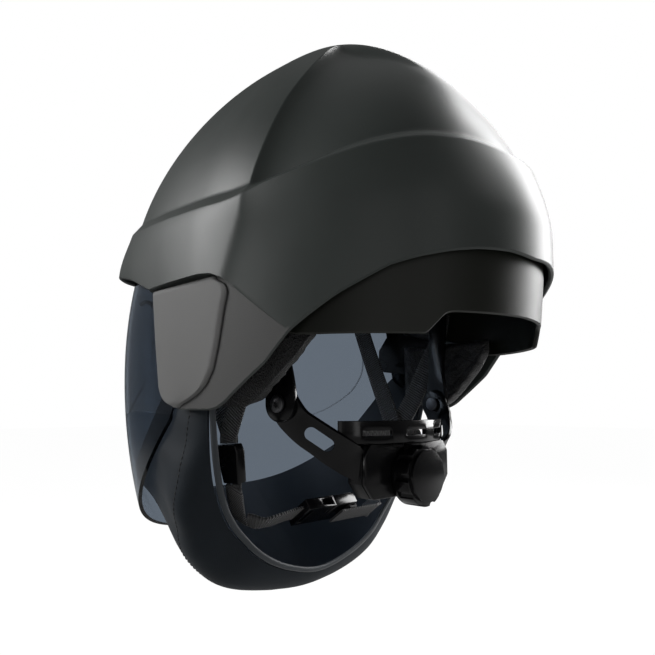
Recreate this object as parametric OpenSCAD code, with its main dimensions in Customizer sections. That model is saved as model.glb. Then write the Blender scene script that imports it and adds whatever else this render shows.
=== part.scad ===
// Arc flash helmet: dome, swing-up lens with chin guard, headgear, ratchet and chin strap.
// Millimetres. +X is the wearer's left, +Y the rear, +Z up. The origin lies on the centre
// plane at the level of the headband, which is where a head carries the helmet.
// Turn is the angle round +Z, 0 at the brow, 90 at the left ear and 180 at the nape.

/* [Outer shell] */
// Half the width of the plain dome at the headband, without the belt
half_width = 109; // [104:0.5:113]
// Reach of the plain dome ahead of the origin
front_reach = 164; // [158:1:170]
// Reach of the plain dome behind the origin
rear_reach = 137; // [132:1:143]
// Height of the crown above the headband plane
crown_height = 150; // [144:1:160]
// Wall of the outer shell
shell_wall = 2.8; // [2:0.1:3.4]
// How far the belt stands proud of the dome
belt_proud = 4.5; // [3:0.5:6]
// Height over which the belt's shoulder rounds in
belt_shoulder = 8; // [5:0.5:12]
// Extra flare of the brow
brow_flare = 6.5; // [5:0.5:9]
// Depth of the hollows behind the crease
hollow_depth = 5; // [3:0.5:6]
// How far the wing's face lies inside the dome's half width
wing_inset = 2; // [0:0.25:3]
// Level of the step under the belt where the wing begins
wing_top = -26; // [-30:1:-22]
// Level of the wing's lower edge
wing_foot = -96.5; // [-102:0.5:-92]

/* [Side covers] */
// Thickness of each grained side cover
cover_thick = 3.2; // [2:0.1:4]
// Gap between a cover and the wing that it is clipped on
cover_gap = 0.2; // [0.1:0.05:0.4]

/* [Inner shell] */
// Wall of the inner shell
inner_wall = 2.5; // [2:0.1:3]
// Height of the inner shell's crown above the headband plane
inner_height = 102; // [98:0.5:103]
// How far the neck band lies inside the outer shell
band_inset = 5.5; // [4.5:0.25:7]
// Level of the neck band's lower edge
band_foot = -60.5; // [-66:0.5:-56]
// Thickness of the foam liner in the crown
liner_thick = 9; // [6:0.5:10]

/* [Visor] */
// Distance of the visor hinge behind the origin
hinge_y = 8; // [4:0.5:10]
// Level of the visor hinge
hinge_z = -62; // [-64:0.5:-60]
// Reach of the lens from its hinge
lens_reach = 172.5; // [168:0.5:174]
// How far the lens's side lies inside the dome's half width
lens_inset = 8; // [7.6:0.1:9]
// Thickness of the lens
lens_thick = 2.5; // [1.5:0.1:3]
// Angle of the lens's top edge above the hinge
lens_top = 23; // [18:1:24]
// Angle of the lens's lip below the hinge
lens_lip = -40; // [-42:1:-38]
// Radius of the visor arm's hub
hub_r = 15; // [12:0.5:17]
// Radius of the hinge bolt's shank
bolt_r = 4; // [3:0.25:5]
// Running clearance of the bolt in the hub, on the radius
bolt_play = 0.05; // [0.03:0.01:0.09]

/* [Chin guard] */
// Thickness of the chin guard's fabric
guard_thick = 2; // [1.5:0.1:3]
// Radius of the binding round the guard's rear opening
binding_r = 2.2; // [1.5:0.1:3]

/* [Headgear] */
// Half the width of the headband's inside
band_half_x = 80; // [78:0.5:82]
// Half the length of the headband's inside
band_half_y = 100; // [97:0.5:103]
// Thickness of the headband
band_thick = 1.8; // [1.4:0.1:2.4]
// Height of the headband
band_high = 28; // [22:1:32]
// Thickness of the sweatband
sweat_thick = 3.5; // [2:0.25:4]
// Thickness of each hanger arm
hanger_thick = 3; // [2:0.25:4]
// Radius of the hanger arm's round end
hanger_end_r = 8.2; // [7:0.1:9]
// Distance of the hanger screws behind the origin
hanger_y = 29.4; // [27:0.2:32]
// Level of the hanger screws
hanger_z = -94; // [-97:0.5:-91]
// Radius of the hanger screw's shank
screw_r = 2.5; // [2:0.1:3]
// Thickness of each nape arm
arm_thick = 2.6; // [2:0.1:3]
// Width of each nape arm
arm_wide = 15; // [13:0.5:17]
// Width of the slot in each nape arm
arm_slot = 5.6; // [4:0.2:7]

/* [Ratchet] */
// Distance of the ratchet housing's front behind the origin
housing_y = 47; // [45:0.5:49]
// Depth of the ratchet housing
housing_deep = 13; // [12:0.5:15]
// Level of the knob's axis
knob_z = -134; // [-136:0.5:-132]
// Radius of the knob over its ribs
knob_r = 17; // [15:0.5:18]
// Depth of the knob
knob_deep = 13; // [10:0.5:15]
// Number of finger grooves round the knob
knob_grooves = 10; // [8:1:12]
// Pitch radius of the pinion
pinion_r = 6; // [6:0.5:6.5]
// Number of pinion teeth
pinion_teeth = 12; // [12:1:12]
// Radius of the knob's shaft
shaft_r = 3; // [2.5:0.1:3.4]

/* [Chin strap] */
// Width of the webbing
web_wide = 15; // [13:0.5:16]
// Thickness of the webbing
web_thick = 1.5; // [1.2:0.1:2]
// Distance of the chin straps from the centre plane
strap_x = 75; // [74:0.25:76]
// Width of the buckle
buckle_wide = 22; // [20:0.5:25]
// Thickness of the buckle
buckle_thick = 7; // [6.5:0.25:9]
// Clearance of the buckle's tongue in its socket
tongue_gap = 0.3; // [0.2:0.05:0.4]

/* [Hidden] */

$fn = 48;
// Colours as the photograph shows them
shell_grey = [0.27, 0.29, 0.28];
cover_grey = [0.42, 0.42, 0.42];
lens_blue = [0.20, 0.27, 0.36, 0.45];
guard_slate = [0.20, 0.24, 0.28];
black = [0.05, 0.05, 0.06];
dark = [0.10, 0.10, 0.11];
steel = [0.45, 0.46, 0.48];
// Gap between pieces that lie against each other
seat = 0.3;

// Dome exponents at the brow, the ears and the nape, and the plan's powers
dome_power = [[0, 1.86], [90, 1.59], [180, 1.61]];
front_power = 2.55;
rear_power = 2.04;
// Length over which the walls would taper to a point below the headband
taper_reach = 400;
// Level of the belt's line by turn
belt_levels = [[0, 24], [40, 22], [61, 14], [83, 11], [104, 9], [111, 10.5], [118, 16],
               [127, 20], [142, 28], [155, 33], [165, 34], [180, 32]];
// Turn of the crease by elevation
crease_turns = [[-90, 111], [8, 111], [15, 112], [30, 115], [40, 117.5], [48, 121], [57, 125.5],
                [69, 133], [77, 146], [84, 165], [90, 180]];
crease_foot = 111;
crease_run = 2.5;
// Level of the wing's step by turn, below the wing's top
step_drops = [[60, 0], [95, 0], [100, 1], [105, 5], [112, 16], [124, 33], [130, 38], [180, 38]];
step_run = 1.2;
// Level of the outer rim by turn: brow, front of the wing, foot, rear of the wing, nape
rim_levels = [[0, 0], [20, -1], [41, -6], [55, -15], [66, -25], [67.5, -29], [69.5, -58],
              [71.5, -82], [73.5, -91], [76, -94.5], [81, wing_foot], [97, wing_foot],
              [100, -95.5], [103, -93], [109, -85], [117, -74], [124, -59], [128, -53],
              [135, -43], [141, -36], [146, -30], [152, -26], [158, -23], [164, -21],
              [172, -20], [180, -21]];
shell_turns = [0, 9, 18, 27, 35, 42, 48, 54, 60, 66, 67.5, 69.5, 71.5, 73.5, 76, 81, 87, 92, 97,
               100, 103, 106, 108.5, 111, 112.4, 114.5, 117, 120.5, 124, 128, 132, 136, 141,
               146, 152, 158, 164, 172, 180];
dome_steps = [0.09, 0.18, 0.28, 0.38, 0.48, 0.57, 0.66, 0.75, 0.83, 0.91];

// Small helpers
function ease(a, b, v) = let (t = max(0, min(1, (v - a) / (b - a)))) t * t * (3 - 2 * t);
function mix(a, b, t) = a + (b - a) * t;
function unit(v) = v / max(norm(v), 0.000001);
function ring_of(half) = concat(half, [for (i = [len(half) - 2 : -1 : 1]) -half[i]]);
function both_of(half) = concat([for (i = [len(half) - 1 : -1 : 1]) -half[i]], half);
function at(list, i) = list[max(0, min(len(list) - 1, i))];
function curve(list, u) =
    let (i = max(0, min(len(list) - 2, floor(u))), t = u - i,
         a = at(list, i - 1), b = at(list, i), c = at(list, i + 1), d = at(list, i + 2))
    0.5 * (2 * b + (c - a) * t + (2 * a - 5 * b + 4 * c - d) * t * t
           + (3 * b - a - 3 * c + d) * t * t * t);

// Surface of the outer shell, as the distance from the origin at a turn and an elevation
function plan_reach(turn) =
    let (far = cos(turn) > 0 ? front_reach : rear_reach,
         power = cos(turn) > 0 ? front_power : rear_power)
    pow(pow(abs(sin(turn)) / half_width, power) + pow(abs(cos(turn)) / far, power), -1 / power);
function plain_reach(turn, el) =
    let (n = lookup(abs(turn), dome_power), level = plan_reach(turn))
    el >= 0
    ? pow(pow(cos(el) / level, n) + pow(sin(el) / crown_height, n), -1 / n)
    : pow(pow(cos(el) / level, 2) + pow(sin(el) / taper_reach, 2), -0.5);
function belt_level(turn) = lookup(abs(turn), belt_levels);
function step_level(turn) = wing_top - lookup(abs(turn), step_drops);
wing_face = half_width - wing_inset;
function wing_x(y, z) = wing_face - 0.012 * (wing_top - z) - 0.0026 * pow(max(0, y - 8), 2);
function crest_half(y) = mix(30, 16, ease(30, 100, y));
function skin_reach(turn, el, lift = 0) =
    let (r = plain_reach(turn, el), t = abs(turn), flat = r * cos(el), z = r * sin(el),
         above = z - belt_level(t),
         belt = belt_proud * ease(belt_shoulder, 0, above),
         brow = brow_flare * (1 - ease(30, 72, t)) * ease(0, 34, 4 - above),
         behind = (t - lookup(el, crease_turns)) * PI / 180 * flat,
         crest = crest_half(-flat * cos(t)),
         hollow = hollow_depth * ease(0, crease_run, behind) * (1 - ease(15, 85, behind))
             * ease(crest - 8, crest + 8, flat * sin(t)) * ease(0, 8, above),
         out = r + belt + brow - hollow,
         limit = wing_x(-out * cos(el) * cos(t), out * sin(el)) / max(0.3, cos(el) * sin(t)),
         sunk = (t > 58 && t < 130) ? ease(0, step_run, step_level(t) + lift - out * sin(el)) : 0)
    out - sunk * max(0, out - limit);
function polar(turn, el, r) = r * [cos(el) * sin(turn), -cos(el) * cos(turn), sin(el)];
function level_el(turn, z, lift, el = 0, left = 6) =
    left == 0 ? el
    : level_el(turn, z, lift, atan2(z, skin_reach(turn, el, lift) * cos(el)), left - 1);
function warp(u, el) =
    let (c = lookup(el, crease_turns), a = abs(u),
         t = a < 60 ? a : a < crease_foot ? 60 + (a - 60) * (c - 60) / (crease_foot - 60)
             : c + (a - crease_foot) * (180 - c) / (180 - crease_foot))
    u < 0 ? -t : t;
function below(levels, foot) =
    [for (i = [0 : len(levels) - 1]) max(levels[i], foot + 0.35 * (len(levels) - i))];
function rim_level(turn) = lookup(abs(turn), rim_levels);
function lower_levels(turn, lift) =
    let (b = belt_level(turn), foot = rim_level(turn), s = max(step_level(turn) + lift, foot),
         deep = min(s - step_run - 0.2, foot))
    concat([b + 5.5, b + 2.5, b],
           below([mix(b, s, 0.33), mix(b, s, 0.7), s + 0.1, s - step_run - 0.1,
                  mix(s - step_run, foot, 0.33), mix(s - step_run, foot, 0.7)], foot),
           [foot]);
function shell_row(turn_count, k, lift) =
    let (turns = ring_of(shell_turns), n = len(dome_steps))
    [for (u = turns)
        let (top = level_el(u, belt_level(u) + belt_shoulder, lift),
             el = k <= n - 1 ? mix(90, top, dome_steps[k])
                 : k == n ? top : level_el(u, lower_levels(u, lift)[k - n - 1], lift),
             t = warp(u, el))
        polar(t, el, skin_reach(t, el, lift))];
shell_rows = len(dome_steps) + 11;
// Inward normal of the plain dome, for setting the shell's inside
function plain_normal(turn, el) =
    let (a = polar(turn - 1, el, plain_reach(turn - 1, el)),
         b = polar(turn + 1, el, plain_reach(turn + 1, el)),
         c = polar(turn, el - 1, plain_reach(turn, el - 1)),
         d = polar(turn, min(el + 1, 89.9), plain_reach(turn, min(el + 1, 89.9))))
    unit(cross(d - c, b - a));
function inside_of(p, wall) =
    let (r = norm(p), el = asin(p[2] / r), turn = atan2(p[0], -p[1]))
    p + wall * plain_normal(turn, min(el, 88));

// Grid meshes: triangles between rows of points
function grid_faces(rows, cols, start, wrap, flip) =
    [for (i = [0 : rows - 2], j = [0 : (wrap ? cols - 1 : cols - 2)])
        let (a = start + i * cols + j, b = start + i * cols + (j + 1) % cols,
             c = a + cols, d = b + cols)
        each (flip ? [[a, c, b], [b, c, d]] : [[a, b, c], [b, d, c]])];
function flat_list(rows) = [for (row = rows) each row];
// A closed dome skin: outer rows, inner rows, an apex for each, joined along the rim
module dome_skin(outer, inner, top_out, top_in) {
    cols = len(outer[0]);
    no = len(outer) * cols;
    ni = len(inner) * cols;
    apex = no + ni;
    last = (len(outer) - 1) * cols;
    tail = no + (len(inner) - 1) * cols;
    polyhedron(concat(flat_list(outer), flat_list(inner), [top_out, top_in]), concat(
        grid_faces(len(outer), cols, 0, true, false),
        grid_faces(len(inner), cols, no, true, true),
        [for (j = [0 : cols - 1]) [apex, (j + 1) % cols, j]],
        [for (j = [0 : cols - 1]) [apex + 1, no + j, no + (j + 1) % cols]],
        [for (j = [0 : cols - 1]) each [
            [last + j, last + (j + 1) % cols, tail + j],
            [last + (j + 1) % cols, tail + (j + 1) % cols, tail + j]]]), convexity = 8);
}
// A closed slab between two open grids of the same size
module slab(front, back) {
    rows = len(front);
    cols = len(front[0]);
    n = rows * cols;
    edge = concat([for (j = [0 : cols - 2]) [j, j + 1]],
                  [for (i = [0 : rows - 2]) [i * cols + cols - 1, (i + 1) * cols + cols - 1]],
                  [for (j = [cols - 2 : -1 : 0]) [(rows - 1) * cols + j + 1, (rows - 1) * cols + j]],
                  [for (i = [rows - 2 : -1 : 0]) [(i + 1) * cols, i * cols]]);
    polyhedron(concat(flat_list(front), flat_list(back)), concat(
        grid_faces(rows, cols, 0, false, false),
        grid_faces(rows, cols, n, false, true),
        [for (e = edge) each [[e[1], e[0], e[0] + n], [e[1], e[0] + n, e[1] + n]]]), convexity = 8);
}
function grid_normal(g, i, j) =
    unit(cross(at(at(g, i + 1), j) - at(at(g, i - 1), j), at(at(g, i), j + 1) - at(at(g, i), j - 1)));
function grid_inset(g, depth) =
    [for (i = [0 : len(g) - 1]) [for (j = [0 : len(g[0]) - 1]) g[i][j] + depth * grid_normal(g, i, j)]];
// A flat strap or blade swept along points; across gives its width direction at each point
module ribbon(path, across, wide, thick) {
    n = len(path);
    rings = [for (i = [0 : n - 1])
        let (t = unit(at(path, i + 1) - at(path, i - 1)), raw = is_list(across[0]) ? across[i] : across,
             w = unit(raw - (raw * t) * t), u = cross(t, w))
        [for (c = [[-1, -1], [1, -1], [1, 1], [-1, 1]])
            path[i] + w * c[0] * wide / 2 + u * c[1] * thick / 2]];
    polyhedron(flat_list(rings), concat(
        grid_faces(n, 4, 0, true, true), [[0, 1, 2], [0, 2, 3]],
        [[4 * n - 1, 4 * n - 2, 4 * n - 3], [4 * n - 1, 4 * n - 3, 4 * n - 4]]), convexity = 6);
}
// A round cord or binding swept along points
module tube(path, r, sides = 8) {
    n = len(path);
    rings = [for (i = [0 : n - 1])
        let (t = unit(at(path, i + 1) - at(path, i - 1)), w = unit(cross(t, [0.1, 1, 0.2])),
             u = cross(t, w))
        [for (k = [0 : sides - 1]) path[i] + r * (w * cos(k * 360 / sides) + u * sin(k * 360 / sides))]];
    polyhedron(flat_list(rings), concat(
        grid_faces(n, sides, 0, true, true), [[for (k = [0 : sides - 1]) k]],
        [[for (k = [sides - 1 : -1 : 0]) (n - 1) * sides + k]]), convexity = 6);
}
module left_right(side) {
    if (side > 0) children();
    else mirror([1, 0, 0]) children();
}
// A cylinder along +X from one distance to another
module across_x(x0, x1, y, z, r) {
    translate([x0, y, z]) rotate([0, 90, 0]) cylinder(h = x1 - x0, r = r);
}

// Outer shell: injection-moulded dome with belt, crease, hollows, crest and side wings
module outer_shell() {
    outer = [for (k = [0 : shell_rows - 1]) shell_row(0, k, 0)];
    picks = [1, 3, 5, 7, 9, 10, 13, 15, 16, 17, 19, 20];
    inner = [for (k = picks) [for (p = shell_row(0, k, shell_wall)) inside_of(p, shell_wall)]];
    color(shell_grey)
        dome_skin(outer, inner, [0, 0, crown_height], [0, 0, crown_height - shell_wall]);
}

// Side covers: grained panels clipped on the wings
cover_levels = [-29.6, -31, -33.5, -37, -46, -56, -65, -72, -78, -82.5, -86, -89, -91.5, -93.5, -95, -96];
cover_front = [[-96, -19], [-94, -26], [-91, -31.5], [-85, -36], [-58, -41], [-26, -46]];
cover_rear = [[-96, -16.5], [-94, -12], [-92, -5], [-89, 3], [-84, 11], [-76, 17], [-63, 21],
              [-45, 25], [-37, 27.5], [-33, 26], [-30.5, 22], [-29, 17]];
cover_steps = [0, 0.03, 0.12, 0.35, 0.6, 0.84, 0.95, 1];
function cover_point(z, s, lift) =
    let (y = mix(lookup(z, cover_front), lookup(z, cover_rear), s))
    [wing_x(y, z) + cover_gap + lift, y, z];
module side_cover() {
    back = [for (z = cover_levels) [for (s = cover_steps) cover_point(z, s, 0)]];
    front = [for (z = cover_levels) [for (s = cover_steps)
        cover_point(z, s, cover_thick * (1 - 0.35 * ease(0.07, 0, s) - 0.35 * ease(0.95, 1, s)))]];
    slab(front, back);
}
module side_cover_left() { color(cover_grey) side_cover(); }
module side_cover_right() { color(cover_grey) mirror([1, 0, 0]) side_cover(); }

// Inner shell: the cap that carries the liner and headgear, with the neck band at its rear
inner_plan = [[0, 118], [30, 112], [50, 103], [70, 93.5], [80, 90.5], [90, 89.5], [105, 92],
              [120, 99], [135, 106], [150, 112], [165, 117], [180, 119]];
inner_rim = [[0, 8], [50, 8], [62, 2], [72, -12], [82, -30], [92, -40], [102, -44], [112, -50],
             [120, -57], [124, band_foot + 0.5], [130, band_foot], [154.5, band_foot - 0.5],
             [158.5, band_foot + 9], [160, band_foot + 10], [180, band_foot + 10.5]];
inner_turns = [0, 12, 24, 36, 46, 54, 62, 72, 82, 92, 102, 112, 120, 124, 130, 138, 146, 152,
               154.5, 158.5, 160, 166, 173, 180];
inner_steps = [0.16, 0.32, 0.48, 0.64, 0.8, 1];
function inner_reach(turn, el) =
    let (t = abs(turn), level = lookup(t, inner_plan),
         cap = el >= 0 ? 1 / sqrt(pow(cos(el) / level, 2) + pow(sin(el) / inner_height, 2))
             : level / cos(el),
         band = skin_reach(turn, el, shell_wall) - band_inset - 0.08 * max(0, -20 - cap * sin(el)))
    mix(cap, band, ease(102, 128, t) * ease(28, 8, cap * sin(el)));
function inner_el(turn, z, el = 0, left = 6) =
    left == 0 ? el : inner_el(turn, z, atan2(z, inner_reach(turn, el) * cos(el)), left - 1);
function inner_rows(inset) =
    concat([for (s = inner_steps) [for (u = ring_of(inner_turns))
                let (top = inner_el(u, 30), el = mix(90, top, s)) polar(u, el, inner_reach(u, el) - inset)]],
           [for (s = [0.2, 0.4, 0.7, 1]) [for (u = ring_of(inner_turns))
                let (el = inner_el(u, mix(30, lookup(abs(u), inner_rim), s)))
                polar(u, el, inner_reach(u, el) - inset)]]);
module inner_shell() {
    color(shell_grey)
        dome_skin(inner_rows(0), inner_rows(inner_wall), [0, 0, inner_height],
                  [0, 0, inner_height - inner_wall]);
}

// Foam liner in the crown of the inner shell
liner_turns = [for (t = [0 : 15 : 180]) t];
liner_steps = [0.2, 0.4, 0.6, 0.8, 1];
function liner_rows(inset) =
    [for (s = liner_steps) [for (u = ring_of(liner_turns))
        let (el = mix(90, 18, s)) polar(u, el, inner_reach(u, el) - inset)]];
module impact_liner() {
    gap = inner_wall + 1.8;
    color(dark)
        dome_skin(liner_rows(gap), liner_rows(gap + liner_thick), [0, 0, inner_height - gap],
                  [0, 0, inner_height - gap - liner_thick]);
}

// Lens: one moulded bubble that turns about the hinge; its section is a superellipse
lens_half = half_width - lens_inset;
lens_power = 3.5;
lens_swell = 0.042;
function lens_r(x) = lens_reach * pow(max(0, 1 - pow(abs(x) / lens_half, lens_power)), 1 / lens_power);
function lens_x(r) = lens_half * pow(1 - pow(r / lens_reach, lens_power), 1 / lens_power);
function lens_at(x, r, th, inset) =
    let (nx = pow(abs(x) / lens_half, lens_power - 1) / lens_half * sign(x),
         nr = pow(r / lens_reach, lens_power - 1) / lens_reach, k = norm([nx, nr]),
         swell = 1 + lens_swell * pow(max(0, min(2, -th / 35)), 2),
         out = r * swell - inset * nr / k)
    [x - inset * nx / k, hinge_y - out * cos(th), hinge_z + out * sin(th)];
lens_half_cols = concat([for (x = [0, 14, 28, 42, 54, 64, 72, 79, 85, 90, 94, 97]) [x, lens_r(x)]],
                        [for (r = [82, 68, 54, 42, 32, 24]) [lens_x(r), r]]);
lens_cols = concat([for (i = [len(lens_half_cols) - 1 : -1 : 1]) [-lens_half_cols[i][0], lens_half_cols[i][1]]],
                   lens_half_cols);
lens_rows = 11;
function lens_grid(inset) =
    [for (k = [0 : lens_rows - 1]) [for (c = lens_cols)
        let (th = mix(lens_top, lens_lip * (1 - 0.35 * ease(60, 20, c[1])), k / (lens_rows - 1)))
        lens_at(c[0], c[1], th, inset)]];
module visor_lens() {
    color(lens_blue) slab(lens_grid(0), lens_grid(lens_thick));
}

// Visor arms: hubs on the hinge bolts, each with a plate bonded inside the lens's ear
hub_in = lens_half - 6.1;
plate_out = lens_half - 3.6;
module visor_arm() {
    difference() {
        union() {
            across_x(hub_in, lens_half + 0.3, hinge_y, hinge_z, hub_r);
            translate([hub_in, hinge_y, hinge_z]) rotate([90, 0, 90])
                linear_extrude(plate_out - hub_in)
                    polygon([[4, hub_r - 1], [-20, 22], [-44, 22], [-52, 12], [-53, -1], [-47, -6],
                             [-30, -8], [-4, 1 - hub_r]]);
        }
        across_x(hub_in - 1, lens_half + 1, hinge_y, hinge_z, bolt_r + bolt_play);
    }
}
module visor_arm_left() { color(black) visor_arm(); }
module visor_arm_right() { color(black) mirror([1, 0, 0]) visor_arm(); }

// Lens trim: rounded black frame along the inside of the lens's rear corner
trim_r = 1.4;
trim_points = [[90, 19], [80, 21], [69, 21.5], [59, 20], [51, 15], [46, 7], [43, -3], [42, -12], [43, -20]];
module lens_trim() {
    path = [for (u = [0 : 0.5 : len(trim_points) - 1])
        let (p = curve(trim_points, u)) lens_at(lens_x(p[0] + 18), p[0] + 18, p[1], lens_thick + trim_r + seat)];
    tube(path, trim_r, 6);
}
module lens_trim_left() { color(black) lens_trim(); }
module lens_trim_right() { color(black) mirror([1, 0, 0]) lens_trim(); }

// Chin guard: coated fabric from the lens's lip to a bound opening round the jaw.
// Each station gives the lens column, the seam's angle and the rim point
seam_cols = [[0, 172.5], [30, 170], [54, 163], [71, 150], [83, 133], [90.5, 114], [95.3, 97], [98.4, 78], [99.9, 60], [100.7, 40]];
seam_angles = [-34, -34, -34, -34, -34, -34, -33, -30, -25, -16];
rim_points = [[0, -17, -202], [28, -15, -196], [50, -13, -184], [65, -12, -169.5], [75, -9, -157],
              [83, -6, -143], [89.5, -3, -127], [94, -1, -111], [96.3, 0, -97], [96.8, 1, -84]];
seam_pull = [[0, 40, -46], [0, 53, -42], [0, 61, -32], [0, 63, -19], [0, 61, -8],
             [0, 53, -6], [0, 37, -12], [0, 22, -15], [0, 10, -13], [0, 3, -9]];
rim_pull = [[0, -18, -31], [8.5, -21, -36], [25, -22, -38], [33, -21.5, -31], [33, -21, -23],
            [30, -19, -16], [19, -16, -9], [9.5, -13, -5], [4, -9, -3], [1, -6, -1]];
guard_steps = 9;
function guard_point(u, v) =
    let (a = abs(u), side = u < 0 ? -1 : 1, th = curve(seam_angles, a), r0 = curve([for (c = seam_cols) c[1]], a),
         r = max(r0, 1), x = r > 171.5 ? curve([for (c = seam_cols) c[0]], a) : lens_x(r),
         s = lens_at(x, r > 171.5 ? lens_r(x) : r, th, lens_thick + seat + 0.2),
         g = curve(rim_points, a),
         p = s + curve(seam_pull, a), q = g + curve(rim_pull, a), w = 1 - v,
         b = w * w * w * s + 3 * w * w * v * p + 3 * w * v * v * q + v * v * v * g)
    [side * b[0], b[1], b[2]];
guard_cols = both_of([for (i = [0 : 18]) i / 2]);
function guard_grid() =
    [for (k = [0 : guard_steps]) [for (u = guard_cols) guard_point(u, k / guard_steps)]];
module chin_guard() {
    face = guard_grid();
    color(guard_slate) slab(face, grid_inset(face, -guard_thick));
}
module guard_binding() {
    path = [for (u = both_of([for (i = [0 : 12]) i * 0.75]))
        let (a = guard_point(u, 1), b = guard_point(u, 0.94))
        a + (binding_r + seat) * unit(a - b) - [sign(u) * 0.9, 0, 0]];
    color(guard_slate * 1.4) tube(path, binding_r, 8);
}

// Hinge: bolt, friction washer and the threaded boss inside each wing
boss_in = lens_half + 1.2;
boss_out = wing_x(hinge_y, hinge_z) - shell_wall - 2 * seat;
washer_r = 12;
module hinge_bolt() {
    across_x(hub_in - 2.5, hub_in - 0.3, hinge_y, hinge_z, bolt_r + 3.5);
    across_x(hub_in - 0.3, boss_out, hinge_y, hinge_z, bolt_r);
}
module hinge_bolt_left() { color(steel) hinge_bolt(); }
module hinge_bolt_right() { color(steel) mirror([1, 0, 0]) hinge_bolt(); }
module friction_washer() {
    difference() {
        across_x(lens_half + 0.4, boss_in - 0.1, hinge_y, hinge_z, washer_r);
        across_x(lens_half, boss_in, hinge_y, hinge_z, bolt_r + bolt_play);
    }
}
module friction_washer_left() { color(dark) friction_washer(); }
module friction_washer_right() { color(dark) mirror([1, 0, 0]) friction_washer(); }
module hinge_boss() {
    difference() {
        across_x(boss_in, boss_out, hinge_y, hinge_z, washer_r);
        across_x(boss_in - 1, boss_out + 1, hinge_y, hinge_z, bolt_r + bolt_play);
    }
}
module hinge_boss_left() { color(dark) hinge_boss(); }
module hinge_boss_right() { color(dark) mirror([1, 0, 0]) hinge_boss(); }

// Headband: the band that grips the head, from hanger to hanger round the brow
band_low = -10;
module oval_ring(grow, thick, z0, high, rear) {
    translate([0, 0, z0]) linear_extrude(high) difference() {
        scale([band_half_x + grow + thick, band_half_y + grow + thick]) circle(r = 1, $fn = 96);
        scale([band_half_x + grow, band_half_y + grow]) circle(r = 1, $fn = 96);
        translate([-150, rear]) square([300, 300]);
    }
}
module headband() {
    color(black) difference() {
        union() {
            oval_ring(0, band_thick, band_low, band_high, 20);
            for (side = [1, -1]) left_right(side) translate([tab_x, 13, band_low])
                cube([band_thick, hanger_y + 12 - 13, band_high]);
        }
        for (side = [1, -1], z = rivet_levels) left_right(side)
            across_x(tab_x - 5, tab_x + 5, hanger_y, z, rivet_r + 0.05);
    }
}
module sweatband() {
    color(dark) oval_ring(-sweat_thick - seat, sweat_thick, band_low + 1, band_high - 2, -8);
}

// Suspension hooks: four lugs that hang the headband from the inner shell
hook_places = [[42, 56, 12, 1.75], [128, 114.5, 4, 3.6]];
function head_oval(turn, grow) =
    let (a = band_half_x + grow, b = band_half_y + grow)
    1 / sqrt(pow(sin(turn) / a, 2) + pow(cos(turn) / b, 2));
module suspension_hooks() {
    color(black) for (side = [1, -1], place = hook_places) left_right(side) {
        turn = place[0];
        z = place[2];
        near = head_oval(turn, band_thick + seat);
        far = inner_reach(turn, inner_el(turn, z)) * cos(inner_el(turn, z));
        long = (far - near) * cos(turn - place[1]) - inner_wall - place[3];
        translate([near * sin(turn), -near * cos(turn), z - 4]) rotate([0, 0, place[1]])
            translate([-7, -long, 0]) cube([14, long, 8]);
    }
}

// Crown straps: two crossing bands over the head, from hook to hook
strap_rise = 80;
crown_wide = 20;
crown_thick = 1.3;
function crown_path(turn, grow) =
    [for (el = [14 : 13.8 : 166.1])
        let (r = 1 / sqrt(pow(cos(el) / head_oval(turn, -3), 2) + pow(sin(el) / strap_rise, 2)) + grow)
        [r * cos(el) * sin(turn), -r * cos(el) * cos(turn), r * sin(el)]];
module crown_strap(turn, grow) {
    ribbon(crown_path(turn, grow), [cos(turn), sin(turn), 0], crown_wide, crown_thick);
}
module crown_strap_under() { color(dark) crown_strap(42, 0); }
module crown_strap_over() { color(dark) crown_strap(-42, crown_thick + seat); }

// Hanger arms: hang down from the headband's ends to the nape arms
hanger_in = 70;
hanger_lean = 4.7;
hanger_bend = -76;
hanger_top = hanger_in + (band_low - 2 - hanger_bend) * tan(hanger_lean);
tab_x = hanger_top + hanger_thick + seat;
rivet_r = 1.8;
rivet_levels = [-3, 11];
module hanger_blank() {
    difference() {
        union() {
            across_x(hanger_in, hanger_in + hanger_thick, hanger_y, hanger_z, hanger_end_r);
            translate([hanger_in, hanger_y - hanger_end_r, hanger_z])
                cube([hanger_thick, 2 * hanger_end_r, hanger_bend - hanger_z]);
            translate([0, hanger_y + hanger_end_r, 0]) rotate([90, 0, 0]) linear_extrude(2 * hanger_end_r)
                polygon([[hanger_in, hanger_bend], [hanger_top, band_low - 2], [hanger_top, band_low + band_high],
                         [hanger_top + hanger_thick, band_low + band_high],
                         [hanger_top + hanger_thick, band_low - 2], [hanger_in + hanger_thick, hanger_bend]]);
        }
        across_x(hanger_in - 5, hanger_in + 10, hanger_y, hanger_z, screw_r + 0.05);
        for (z = rivet_levels) across_x(hanger_in - 5, hanger_in + 20, hanger_y, z, rivet_r + 0.05);
    }
}
module hanger_arm_left() { color(black) hanger_blank(); }
module hanger_arm_right() { color(black) mirror([1, 0, 0]) hanger_blank(); }
module hanger_rivets() {
    color(steel) for (side = [1, -1], z = rivet_levels) left_right(side) {
        across_x(hanger_top - 1.3, hanger_top - 0.1, hanger_y, z, rivet_r + 1.6);
        across_x(hanger_top - 0.1, tab_x + band_thick + 0.9, hanger_y, z, rivet_r);
    }
}
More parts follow.
